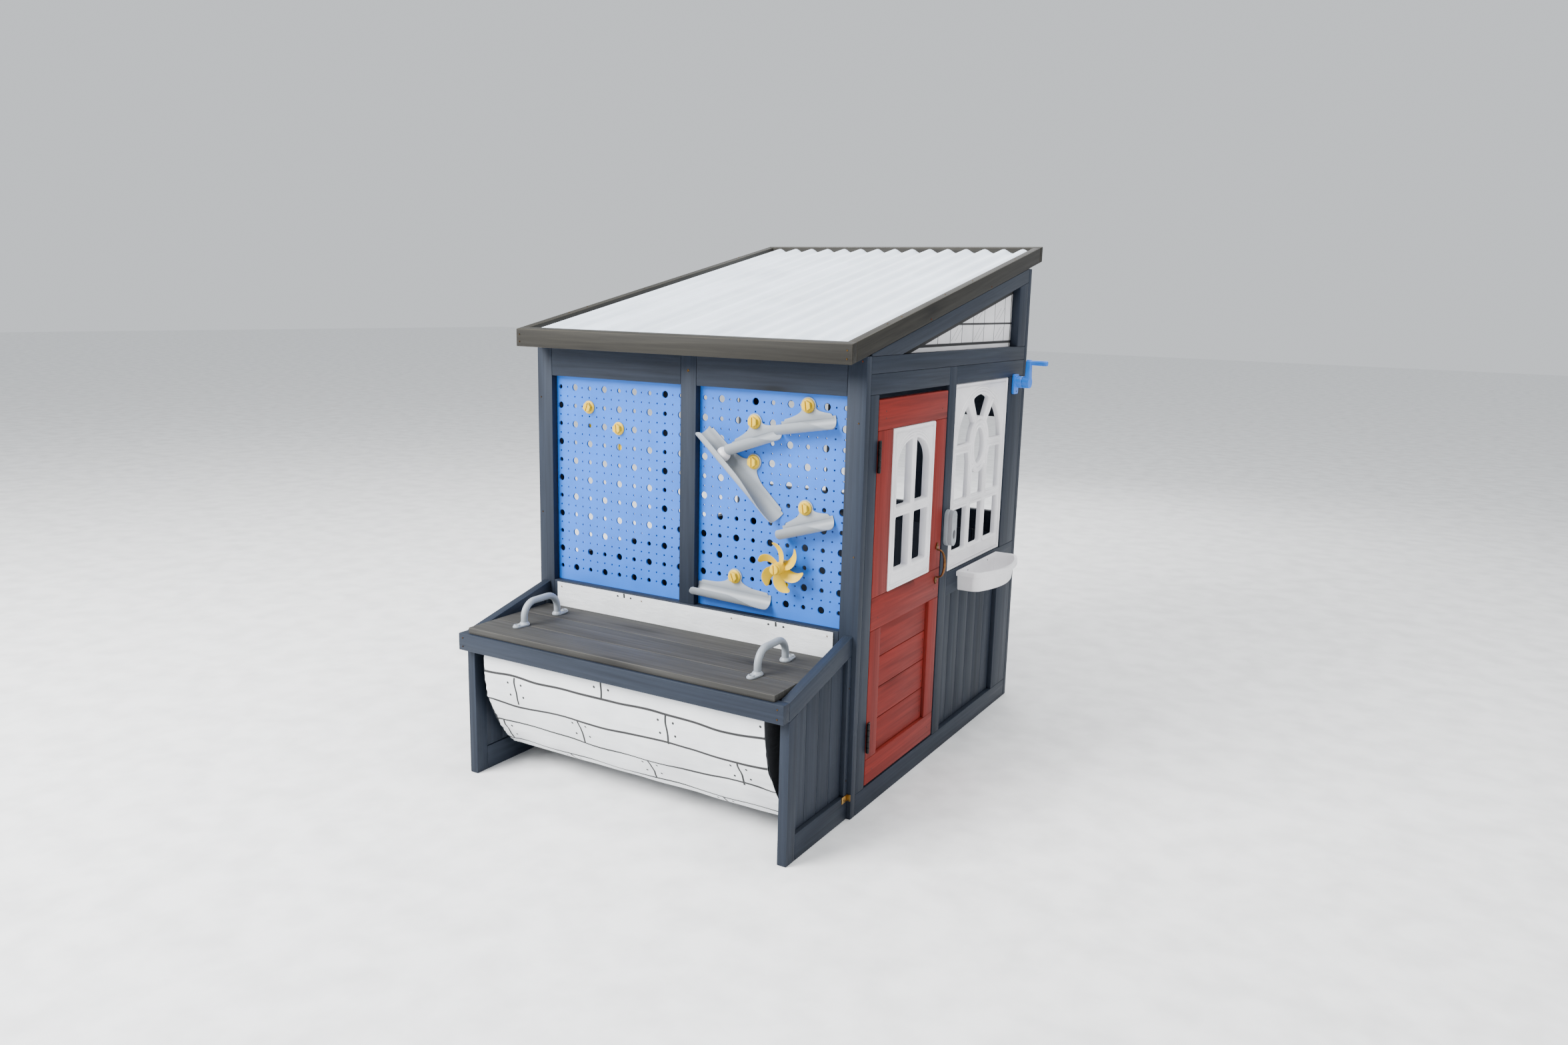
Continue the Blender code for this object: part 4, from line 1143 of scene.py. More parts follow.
# ------------------------------------------------------------------ side walls
def gable_boards(node: str) -> Timber:
    """Three boards round a gable's triangle: level rail, sloping rail, back stile."""
    low, high = node_box(node)
    front, back, base = low.y, high.y, GABLE_RAIL + GAP
    gable = Timber(node + ".boards").board(low, (high.x, back, GABLE_RAIL))
    gable.cut([(front, base), (GABLE_TOE, base), (back, gable_z(back)), (back, roof_z(back) - 2 * GAP),
               (front, roof_z(front) - 2 * GAP)], "x", low.x, high.x, (0.0, 1.0, SLOPE))
    return gable.cut([(GABLE_STILE, base), (back, base), (back, gable_z(back) - GAP),
                      (GABLE_STILE, gable_z(GABLE_STILE) - GAP)], "x", low.x, high.x, UP)


@dataclass
class DoorSide:
    """Right wall: stiles, rails, boarded lower bay and the gable above."""

    mid: Pair = (0.531, 0.584)
    lap: float = 0.012

    def build(self, fixings: Fixings) -> None:
        """Make the boards with the joint lines that the real wall has."""
        x0, x1 = WALL_X - 0.026, WALL_X
        first, last = self.mid[0], self.mid[1] + GAP
        plain_boards("right_front_stile", "right_bottom_rail")
        low, high = node_box("right_top_rail")
        base = node_box("right_mid_stile")[0].z
        Timber("right_top_rail.boards").board(low, (x1, first - GAP, high.z)).board(
            (x0, last, low.z), high).build(BLUE_STAIN, "right_top_rail")
        Timber("right_mid_stile.board").board((x0, first, base), (x1, self.mid[1], high.z)).build(
            BLUE_STAIN, "right_mid_stile")
        low, high = node_box("right_back_stile")
        Timber("right_back_stile.boards").board(low, (x1, high.y, SILL[0] - GAP)).board(
            (x0, low.y, SILL[1] + GAP), high).build(BLUE_STAIN, "right_back_stile")
        Timber("right_sill_rail.board").board((x0, last, SILL[0]), (x1, high.y, SILL[1])).build(
            BLUE_STAIN, "right_sill_rail")
        low, high = node_box("right_lower_panel")
        Timber("right_lower_panel.boards").row(low, high, "y", 6, "z").build(BLUE_STAIN, "right_lower_panel")
        fixings.add(Fixing.COPPER_SCREW, "-y", (0.512, 0.0, 1.185))
        self.gable()

    def gable(self) -> None:
        """The three boards of the gable, and the printed cloth behind them."""
        gable_boards("gable_frame_right").build(BLUE_STAIN, "gable_frame_right")
        self.cloth()

    def cloth(self) -> None:
        """The printed triangle, stapled flat behind the gable's opening."""
        x = node_box("gable_panel_right")[0].x + 0.0010
        first, last, base = GABLE_TOE - 0.060, GABLE_STILE + self.lap, GABLE_RAIL - self.lap
        steps, rows = 64, 16
        points, flat = [], []
        for i in range(steps + 1):
            y = first + (last - first) * i / steps
            top = gable_z(y) + self.lap
            for k in range(rows + 1):
                z = base + max(top - base, 0.004) * k / rows
                wave = 0.0007 * noise.noise(Vector((y * 9.0, z * 9.0, 2.0)))
                points.append(Vector((x + wave, y, z)) + HOUSE)
                flat.append((y - first, z - base))
        faces = [face[::-1] for face in grid_faces(steps, rows)]
        panel = cloth_piece("gable_panel_right.cloth", points, faces, flat, 0.0008)
        panel.data.materials.append(PANEL.material())
        settle(panel, "house", ("gable_panel_right",), "canvas")
        wide, tall = last - first, gable_z(last) + self.lap - base
        0.52 * wide * tall


def cloth_piece(name: str, points: Sequence[Vector], faces: Sequence[Sequence[int]],
                flat: Outline, thickness: float) -> bpy.types.Object:
    """A thin closed sheet, with its flat place on the cloth as its UV map.

    Args:
        name: Name of the piece.
        points: Points of the middle surface, in the object's frame.
        faces: Its faces.
        flat: Where each point lies on the flat cloth, in metres.
        thickness: Thickness of the cloth.

    Returns:
        The piece, not linked yet and with no material.
    """
    mesh = new_mesh(name, points, (), faces)
    layer = mesh.uv_layers.new(name="cloth")
    for loop in mesh.loops:
        layer.data[loop.index].uv = flat[loop.vertex_index]
    holder = linked(name + ".raw", mesh)
    thick = holder.modifiers.new("thickness", 'SOLIDIFY')
    thick.thickness = thickness
    thick.offset = 0.0
    return bake(holder, name, 50.0)


@dataclass
class PlainSides:
    """Left and back walls: open windows over boarded panels."""

    head: float = 1.102
    gable_infill: int = 9

    def build(self) -> None:
        """Make the left wall, its gable and the back wall."""
        self.left()
        self.left_gable()
        self.back()

    def left(self) -> None:
        """Two open windows over a boarded half."""
        low, high = node_box("left_wall")
        x0, x1 = low.x, high.x
        middle = (low.y + high.y) / 2.0
        wall = Timber("left_wall.boards")
        wall.board(low, (x1, high.y, 0.060 - GAP))
        wall.board((x0, low.y, self.head + GAP), high)
        for first, last in ((low.y, 0.090), (1.080, high.y)):
            wall.board((x0, first, 0.060), (x1, last, self.head))
        wall.board((x0, 0.090 + GAP, SILL[0]), (x1, 1.080 - GAP, SILL[1]))
        wall.board((x0, middle - 0.0265, SILL[1] + GAP), (x1, middle + 0.0265, self.head))
        wall.row((x0 + 0.014, 0.090 + GAP, 0.060), (x1, 1.080 - GAP, SILL[0] - GAP), "y", 12, "z")
        wall.build(BLUE_STAIN, "left_wall")

    def left_gable(self) -> None:
        """The same three boards as on the other side, closed by boards within."""
        high, base = node_box("gable_left")[1], GABLE_RAIL + GAP
        gable, first = gable_boards("gable_left"), GABLE_TOE + 0.008
        step = (GABLE_STILE - GAP - first) / self.gable_infill
        for i in range(self.gable_infill):
            a, b = first + step * i, first + step * (i + 1) - 0.0004
            outline = [(a, base), (b, base), (b, gable_z(b) - 0.0005), (a, gable_z(a) - 0.0005)]
            gable.cut(outline, "x", high.x - 0.004, high.x, UP, 0.0008)
        gable.build(BLUE_STAIN, "gable_left")

    def back(self) -> None:
        """Three open windows, a boarded half below and wide boards above."""
        low, high = node_box("back_wall")
        y0, y1, top = low.y, high.y, roof_z(low.y) - 2 * GAP
        stiles = ((-0.525, -0.455), (-0.195, -0.145), (0.145, 0.195), (0.455, 0.525))
        wall = Timber("back_wall.boards")
        for a, b in (stiles[0], stiles[3]):
            wall.board((a, y0, 0.0), (b, y1, top), "z")
        for a, b in stiles[1:3]:
            wall.board((a, y0, 0.640 + GAP), (b, y1, 0.960 - GAP), "z")
        wall.board((-0.455 + GAP, y0, 0.0), (0.455 - GAP, y1, 0.060 - GAP), "x")
        wall.board((-0.455 + GAP, y0, 0.570), (0.455 - GAP, y1, 0.640), "x")
        wall.row((-0.455 + GAP, y0, 0.060), (0.455 - GAP, y1 - 0.014, 0.570 - GAP), "x", 12, "z")
        wall.row((-0.455 + GAP, y0, 0.960), (0.455 - GAP, y1, top), "z", 5, "x")
        wall.build(BLUE_STAIN, "back_wall")


# ------------------------------------------------------------ moulded windows
@dataclass
class MouldedWindow:
    """A moulded frame: a plate with open panes, a raised step round each pane."""

    name: str
    node: str
    body: str
    ridge: float = 0.0042
    set_in: float = 0.0052

    def build(self, outer: Outline, panes: Sequence[Outline],
              extra: Callable[[Shape, float], None]) -> None:
        """Cut the panes from the plate and run the raised steps round them.

        Args:
            outer: Outline of the plate, (y, z).
            panes: Outlines of the open panes.
            extra: Adds what only this window has, from the face outwards.
        """
        low, high = node_box(self.node)
        face = high.x - self.ridge
        shape = Shape(self.name, 30.0)
        shape.plate(outer, panes, "x", low.x, face, 0.0014, 2)
        for pane in panes:
            self.step(shape, pane, face)
        for reach, wide in ((-0.0042, 0.0040), (-0.0140, 0.0030)):
            line = [(face - 0.0006, y, z) for y, z in inset(rounded(outer, 0.003), reach)]
            shape.sweep(line, bead(wide, self.ridge + 0.0006), OUT, closed=True)
        extra(shape, face)
        shape.build(WHITE, self.node, body=self.body)

    def step(self, shape: Shape, pane: Outline, face: float, wide: float = 0.0034) -> None:
        """A rounded bead that runs round a pane on the plate's face."""
        line = inset(pane, self.set_in)
        path = [(face - 0.0006, y, z) for y, z in line]
        shape.sweep(path, bead(wide, self.ridge + 0.0006), OUT, closed=True)


@dataclass
class WallWindow:
    """The arched window: a ring in the middle, radial bars above, bars below."""

    ring_z: float = 0.905
    bar: float = 0.013
    muntin: float = 0.063
    wide: float = 0.186

    def panes(self, middle: float) -> list[list[Pair]]:
        """Outlines of the ten openings, corners rounded."""
        near, centre = self.muntin + self.bar, self.muntin - self.bar
        made: list[list[Pair]] = []
        for side in (-1.0, 1.0):
            low = box_outline(near, self.wide, 0.600, 0.728)
            made.append(rounded(mirrored(low, middle, side), 0.007))
            upper = self.ring_z - self.bar
            tall = [(near, 0.754), (self.wide, 0.754), (self.wide, upper), (0.086, upper), (near, 0.862)]
            made.append(rounded(mirrored(tall, middle, side), 0.007))
            fan = arc((0.0, self.ring_z), self.wide, 0.156, 5.0, 56.0, 14)
            fan += arc((0.0, self.ring_z), 0.079, 0.092, 51.0, 10.0, 8)
            made.append(rounded(mirrored(fan, middle, side), 0.006))
        made.append(rounded(box_outline(middle - centre, middle + centre, 0.600, 0.728), 0.007))
        under = [(middle - centre, 0.754), (middle + centre, 0.754)]
        under += arc((middle, self.ring_z), 0.070, 0.084, -45.0, -135.0, 12)
        made.append(rounded(under, 0.006))
        made.append(oval((middle, self.ring_z), 0.043, 0.055, 40))
        top = arc((middle, self.ring_z), 0.166, 0.156, 66.0, 114.0, 12)
        top += arc((middle, self.ring_z), 0.076, 0.090, 112.0, 68.0, 8)
        made.append(rounded(top, 0.005))
        return made

    def build(self) -> None:
        """Make the window and the two hoops round its ring and its arch."""
        low, high = node_box("window_insert")
        middle = (low.y + high.y) / 2.0

        def hoops(shape: Shape, face: float) -> None:
            """A raised hoop round the ring, and a stepped arch over the panes."""
            ring = oval((middle, self.ring_z), 0.0600, 0.0730, 56)
            shape.sweep([(face - 0.001, y, z) for y, z in ring], bead(0.0042, 0.0050), OUT, closed=True)
            for reach, wide in ((0.0125, 0.0034), (0.0205, 0.0030)):
                over = arc((middle, self.ring_z), self.wide + reach - 0.002, 0.156 + reach, 2.0, 178.0, 44)
                shape.sweep([(face - 0.001, y, z) for y, z in over], bead(wide, 0.0048), OUT)

        outer = box_outline(low.y, high.y, low.z, high.z)
        MouldedWindow("window_insert.frame", "window_insert", "house").build(outer, self.panes(middle), hoops)


@dataclass
class Door:
    """The hinged door: framed leaf, moulded window, hinges and a bowed pull."""

    stiles: tuple[Pair, Pair] = ((0.077, 0.168), (0.440, 0.523))
    mid_rail: Pair = (0.490, 0.578)
    head: float = 1.010
    foot: float = 0.137
    seams: tuple[float, ...] = (0.229, 0.316, 0.402)
    recess: Pair = (0.141, 0.459)
    pull_y: float = 0.494
    pull_z: float = 0.595

    def build(self, fixings: Fixings) -> None:
        """Make every part that swings with the door."""
        self.leaf(fixings)
        self.window()
        for node in ("door_hinge_lower", "door_hinge_upper"):
            self.hinge(node, fixings)
        self.pull(fixings)

    def leaf(self, fixings: Fixings) -> None:
        """Rails and stiles, with boards laid across the lower half."""
        low, high = node_box("door_leaf")
        x0, x1 = low.x, high.x
        leaf = Timber("door_leaf.boards")
        leaf.board((x0, low.y, self.head + GAP), (x1, high.y, high.z), "y")
        leaf.board((x0, low.y, self.mid_rail[0]), (x1, high.y, self.mid_rail[1]), "y")
        for first, last in self.stiles:
            leaf.board((x0, first, self.mid_rail[1] + GAP), (x1, last, self.head), "z")
        leaf.board((x0, low.y, low.z), (x1, high.y, self.foot), "y")
        base, top = self.foot + GAP, self.mid_rail[0] - GAP
        leaf.board((x0, low.y, base), (x1, self.recess[0] - GAP, top), "z")
        leaf.board((x0, self.recess[1] + GAP, base), (x1, high.y, top), "z")
        edges = (base, *self.seams, top)
        for lower, upper in zip(edges, edges[1:]):
            leaf.board((x0, self.recess[0], lower + GAP), (x1 - 0.009, self.recess[1], upper - GAP),
                       "y", 0.0035)
            for y in (self.recess[0] + 0.017, self.recess[1] - 0.014):
                for z in (lower + 0.024, upper - 0.024):
                    fixings.add(Fixing.NAIL_HEAD, "+x", (x1 - 0.009, y, z), body="door")
        leaf.build(DOOR_STAIN, "door_leaf", body="door")
        nails = ((0.118, 1.040), (0.118, 1.058), (0.486, 1.040), (0.486, 0.520), (0.118, 0.520),
                 (0.118, 0.100), (0.486, 0.100))
        fixings.add(Fixing.NAIL_HEAD, "+x", *[(x1, y, z) for y, z in nails], body="door")

    def window(self) -> None:
        """Four panes under an arch, and the stepped arch over them."""
        low, high = node_box("door_insert")
        middle = (low.y + high.y) / 2.0
        near, far = 0.012, 0.106
        panes: list[list[Pair]] = []
        for side in (-1.0, 1.0):
            lower = box_outline(near, far, 0.628, 0.773)
            upper = [(near, 0.799), (far, 0.799), *arc((0.0, 0.905), far, 0.070, 0.0, 83.0, 16)]
            for pane in (lower, upper):
                panes.append(rounded(mirrored(pane, middle, side), 0.006))

        def arch(shape: Shape, face: float) -> None:
            """A double bead over the arch and down both sides."""
            for reach in (0.0125, 0.0195):
                side = far + reach
                path = [(middle + side, 0.905 - 0.277 * k / 6.0) for k in range(6, 0, -1)]
                path += arc((middle, 0.905), side, 0.070 + reach, 0.0, 180.0, 30)
                path += [(middle - side, 0.905 - 0.277 * k / 6.0) for k in range(1, 7)]
                shape.sweep([(face - 0.0006, y, z) for y, z in path], bead(0.0030, 0.0032), OUT)

        outer = rounded(box_outline(low.y, high.y, low.z, high.z), 0.004)
        MouldedWindow("door_insert.frame", "door_insert", "door", 0.0026, 0.0050).build(outer, panes, arch)

    def hinge(self, node: str, fixings: Fixings) -> None:
        """A surface hinge: screwed leaf, five knuckles and the pin's ends."""
        low, high = node_box(node)
        shape = Shape(node + ".steel", 30.0)
        axis = (0.531, 0.0755)
        shape.box((FACE_X, axis[1] + 0.0015, low.z), (WALL_X + 0.0028, high.y, high.z), 0.0006)
        step = (high.z - low.z) / 5.0
        for i in range(5):
            base = low.z + step * i + 0.0004
            profile = [(0.0, base), (0.0037, base), (0.0043, base + 0.0008), (0.0043, base + step - 0.0016),
                       (0.0037, base + step - 0.0008), (0.0, base + step - 0.0008)]
            shape.lathe(profile, (*axis, 0.0), "z", 18)
        shape.lathe([(0.0, low.z), (0.0022, low.z), (0.0022, high.z), (0.0, high.z)], (*axis, 0.0), "z", 12)
        shape.build(STEEL, node, body="door")
        for z in (low.z + 0.012, (low.z + high.z) / 2.0, high.z - 0.012):
            fixings.add(Fixing.BLACK_SCREW, "+x", (WALL_X + 0.0028, axis[1] + 0.0115, z), body="door")

    def pull(self, fixings: Fixings) -> None:
        """A bowed bronze pull between two spade-shaped roses."""
        face = FACE_X
        shape = Shape("door_pull.bronze", 40.0)
        for sign in (-1.0, 1.0):
            z = self.pull_z + sign * 0.048
            rose = arc((self.pull_y, z), 0.0085, 0.0085, -25.0, 205.0, 16)
            rose += [(self.pull_y - 0.0036, z - 0.0085), (self.pull_y, z - 0.0135),
                     (self.pull_y + 0.0036, z - 0.0085)]
            if sign > 0.0:
                rose = [(y, 2.0 * z - height) for y, height in rose][::-1]
            shape.plate([(y, height) for y, height in rose], [], "x", face, face + 0.0034, 0.0008)
        path, sizes = [], []
        for i in range(33):
            t = i / 32.0
            bow = math.sin(math.pi * t) ** 0.62
            z = self.pull_z - 0.040 * math.cos(math.pi * t)
            path.append(Vector((face + 0.0030 + 0.0240 * bow, self.pull_y, z)))
            sizes.append(0.0026 + 0.0020 * math.sin(math.pi * t) ** 2)
        rings = []
        for i, point in enumerate(path):
            ahead = (path[min(i + 1, 32)] - path[max(i - 1, 0)]).normalized()
            high = Vector((0.0, 1.0, 0.0)).cross(ahead)
            ring = oval((0.0, 0.0), sizes[i] * 1.15, sizes[i] * 0.9, 14)
            rings.append([point + Vector((0.0, 1.0, 0.0)) * a + high * b for a, b in ring])
        shape.loft(rings)
        shape.build(BRONZE, "door_pull", body="door")
        fixings.add(Fixing.BRASS_SCREW, "+x", (face + 0.0034, self.pull_y, self.pull_z - 0.0515),
                    (face + 0.0034, self.pull_y, self.pull_z + 0.0515), body="door")


# ------------------------------------------------------------------ fittings
@dataclass
class SideFittings:
    """Planter, doorbell and crank on the door side."""

    planter_y: float = 0.827
    bell: Pair = (0.5575, 0.690)
    crank: Pair = (1.074, 1.086)

    def build(self, fixings: Fixings) -> None:
        """Make the three fittings and their screws."""
        self.planter(fixings)
        self.doorbell()
        self.crank_plate(fixings)
        self.crank_handle()

    def tray(self, half: float, reach: float, back: float) -> list[Pair]:
        """Outline of the planter at one height: flat back, bowed front."""
        face, middle = FACE_X + back, self.planter_y
        side = reach * 0.62
        points = [(face, middle + half), (face, middle - half)]
        points += arc((FACE_X + side - 0.018, middle - half + 0.018), 0.018, 0.018, 270.0, 305.0, 5)
        for i in range(15):
            t = -1.0 + 2.0 * i / 14.0
            bow = side + 0.004 + (reach - side - 0.004) * (1.0 - t * t)
            points.append((FACE_X + bow, middle + t * (half - 0.012)))
        points += arc((FACE_X + side - 0.018, middle + half - 0.018), 0.018, 0.018, 55.0, 90.0, 5)
        return points

    def planter(self, fixings: Fixings) -> None:
        """A drawn tray: tapered body, rolled lip and a hollow inside."""
        low, high = node_box("planter_box")
        top = high.z
        stations = ((0.1480, 0.0930, 0.0, low.z), (0.1510, 0.0960, 0.0, low.z + 0.0015),
                    (0.1530, 0.0985, 0.0, low.z + 0.0050), (0.1580, 0.1035, 0.0, top - 0.0165),
                    (0.1585, 0.1045, 0.0, top - 0.0155), (0.1668, 0.1132, 0.0, top - 0.0150),
                    (0.1682, 0.1146, 0.0, top - 0.0130), (0.1685, 0.1150, 0.0, top - 0.0025),
                    (0.1675, 0.1140, 0.0010, top), (0.1590, 0.1045, 0.0032, top),
                    (0.1575, 0.1030, 0.0040, top - 0.0020), (0.1535, 0.0985, 0.0042, top - 0.0200),
                    (0.1500, 0.0950, 0.0045, low.z + 0.0090), (0.1470, 0.0915, 0.0060, low.z + 0.0045),
                    (0.1430, 0.0870, 0.0100, low.z + 0.0030))
        rings = [[(x, y, z) for x, y in self.tray(half, reach, back)] for half, reach, back, z in stations]
        shape = Shape("planter_box.moulding", 32.0)
        shape.loft(rings)
        shape.build(WHITE, "planter_box")
        for y in (self.planter_y - 0.085, self.planter_y + 0.085):
            fixings.add(Fixing.GREY_SCREW, "+x", (FACE_X + 0.0040, y, top - 0.012))

    def stadium(self, half: float, radius: float, z: float) -> list[Pair]:
        """A slot-shaped outline about the bell's middle."""
        y = self.bell[0]
        upper = arc((y, z + half), radius, radius, 0.0, 180.0, 14)
        return upper + arc((y, z - half), radius, radius, 180.0, 360.0, 14)

    def doorbell(self) -> None:
        """A rounded body with a raised front, and the button in its well."""
        face, z = FACE_X, self.bell[1]
        body = Shape("doorbell_body.case", 30.0)
        well = oval((self.bell[0], z - 0.018), 0.0088, 0.0133, 24)
        body.plate(self.stadium(0.034, 0.019, z), [], "x", face, face + 0.0125, 0.0012)
        body.plate(self.stadium(0.034, 0.0178, z), [well], "x", face + 0.0127, face + 0.0260, 0.0030, 4)
        louvre = [self.bell[0] - 0.009, self.bell[0] + 0.009]
        for k in range(4):
            base = z + 0.018 + 0.0065 * k
            body.box((face + 0.0250, louvre[0], base), (face + 0.0268, louvre[1], base + 0.0028), 0.0008)
        body.build(GREY, "doorbell_body")
        low, high = node_box("doorbell_button")
        button = Shape("doorbell_button.cap", 30.0)
        rings = []
        for share, x in ((0.96, low.x), (1.0, low.x + 0.0006), (1.0, high.x - 0.0030),
                         (0.94, high.x - 0.0012),
                         (0.78, high.x - 0.0003), (0.45, high.x), (0.1, high.x)):
            outline = oval((self.bell[0], z - 0.018), 0.0080 * share, 0.0125 * share, 28)
            rings.append([(x, y, height) for y, height in outline])
        button.loft(rings)
        button.build(DARK, "doorbell_button", body="bell_push")

    def crank_plate(self, fixings: Fixings) -> None:
        """A screwed plate with the bearing barrel on it."""
        low, high = node_box("crank_plate")
        y, z = self.crank
        shape = Shape("crank_plate.moulding", 30.0)
        outer = rounded(box_outline(low.y, high.y, low.z, high.z), 0.006)
        shape.plate(outer, [], "x", low.x, low.x + 0.009, 0.0015)
        profile = [(0.0, 0.004), (0.0200, 0.004), (0.0200, 0.0115), (0.0188, 0.0125), (0.0188, 0.0270),
                   (0.0176, 0.0296), (0.0, 0.0296)]
        shape.lathe(profile, (low.x, y, z), "x", 36)
        shape.build(CRANK_BLUE, "crank_plate")
        fixings.add(Fixing.BRASS_SCREW, "+x", (low.x + 0.009, y, low.z + 0.0085))

    def crank_handle(self) -> None:
        """The turning arm, and the grip at its end."""
        low, high = node_box("crank_handle")
        y, z = self.crank
        shape = Shape("crank_handle.moulding", 32.0)
        hub = [(0.0, 0.0), (0.0180, 0.0), (0.0190, 0.0012), (0.0190, 0.0218), (0.0172, 0.0240),
               (0.0070, 0.0240), (0.0062, 0.0226), (0.0, 0.0226)]
        shape.lathe(hub, (low.x, y, z), "x", 36)
        lever = arc((y, z), 0.0150, 0.0150, 188.0, 352.0, 16)
        lever += arc((y, z + 0.062), 0.0100, 0.0100, 0.0, 180.0, 16)
        shape.plate(lever, [], "x", low.x + 0.008, low.x + 0.0235, 0.0022, 3)
        start = low.x + 0.0160
        length = high.x - start
        grip = [(0.0, 0.0), (0.0085, 0.0), (0.0085, 0.0080), (0.0076, 0.0110), (0.0080, length * 0.45),
                (0.0085, length * 0.80), (0.0084, length - 0.0035), (0.0070, length - 0.0010), (0.0, length)]
        shape.lathe(grip, (start, y, z + 0.062), "x", 28)
        shape.build(CRANK_BLUE, "crank_handle", body="crank_arm")


# ----------------------------------------------------------------------- roof
@dataclass
class Roof:
    """Four edge boards, a purlin and the corrugated sheet between them."""

    waves: int = 15
    wave: float = 0.014
    sheet_height: float = 0.038
    steps: int = 180
    top_screws: tuple[float, ...] = (0.126, 0.208, 0.490, 0.689, 1.044)

    def build(self, fixings: Fixings) -> None:
        """Make the boards, the sheet and their screws."""
        for name in ("board_front", "board_back", "board_left", "board_right", "purlin"):
            self.board("roof_" + name)
        self.sheet()
        x = WALL_X
        for y in (0.375, 0.819):
            fixings.add(Fixing.COPPER_SCREW, "+x", (x, y, roof_z(y) + 0.0075))
            fixings.add(Fixing.COPPER_SCREW, "-x", (-x, y, roof_z(y) + 0.0075))
        lean = Vector((0.0, -SLOPE, 1.0))
        for y in self.top_screws:
            top = roof_z(y) + 0.049
            fixings.slanted(Fixing.BRASS_SCREW, lean, (0.514, y, top), (-0.514, y, top))
        for side in (-1.0, 1.0):
            for up in (0.014, 0.034):
                fixings.add(Fixing.BRASS_SCREW, "-y", (side * 0.512, -0.085, roof_z(-0.085) + up))
                fixings.add(Fixing.BRASS_SCREW, "+y", (side * 0.512, 1.281, roof_z(1.281) + up))

    def board(self, node: str) -> None:
        """One board, cut to the slope of the roof."""
        low, high = node_box(node)
        rise = SLOPE * (high.y - low.y)
        tall = high.z - low.z - rise
        outline = [(low.y, low.z), (high.y, low.z + rise), (high.y, low.z + rise + tall),
                   (low.y, low.z + tall)]
        along = (1.0, 0.0, 0.0) if high.x - low.x > high.y - low.y else (0.0, 1.0, SLOPE)
        stain = BLUE_STAIN if "purlin" in node else ROOF_STAIN
        Timber(node + ".board").cut(outline, "x", low.x, high.x, along).build(stain, node)

    def sheet(self) -> None:
        """A grid that rises and falls in even waves, given thickness."""
        low, high = node_box("roof_sheet")
        wide, long = high.x - low.x, high.y - low.y
        recipe = Recipe("corrugation", {
            "Width": wide, "Length": long, "Wave": self.wave, "Thickness": 0.0015})
        graph, size = recipe.graph, recipe.size
        grid = graph.add("GeometryNodeMeshGrid", {}, {
            "Size X": size("Width"), "Size Y": size("Length"),
            "Vertices X": self.steps + 1, "Vertices Y": 25})
        x, y, _ = graph.position()
        phase = (x / size("Width") + 0.5) * (math.tau * self.waves)
        y_mid = (low.y + high.y) / 2.0
        height = (phase.math("COSINE") * -0.5) * size("Wave") + (y * SLOPE)
        spot = graph.xyz(x + HOUSE.x, y + (y_mid + HOUSE.y), height + (roof_z(y_mid) + self.sheet_height))
        waved = graph.add("GeometryNodeSetPosition", {}, {"Geometry": grid, "Position": spot})
        recipe.finish(graph.thicken(waved, graph.xyz(z=-1.0 * size("Thickness")), 0.00001), SHEET)
        made = recipe.run("roof_sheet.waves", new_mesh("roof_sheet", [(0.0, 0.0, 0.0)]), 60.0)
        face_out(made.data)
        settle(made, "house", ("roof_sheet",), "roof_sheet")


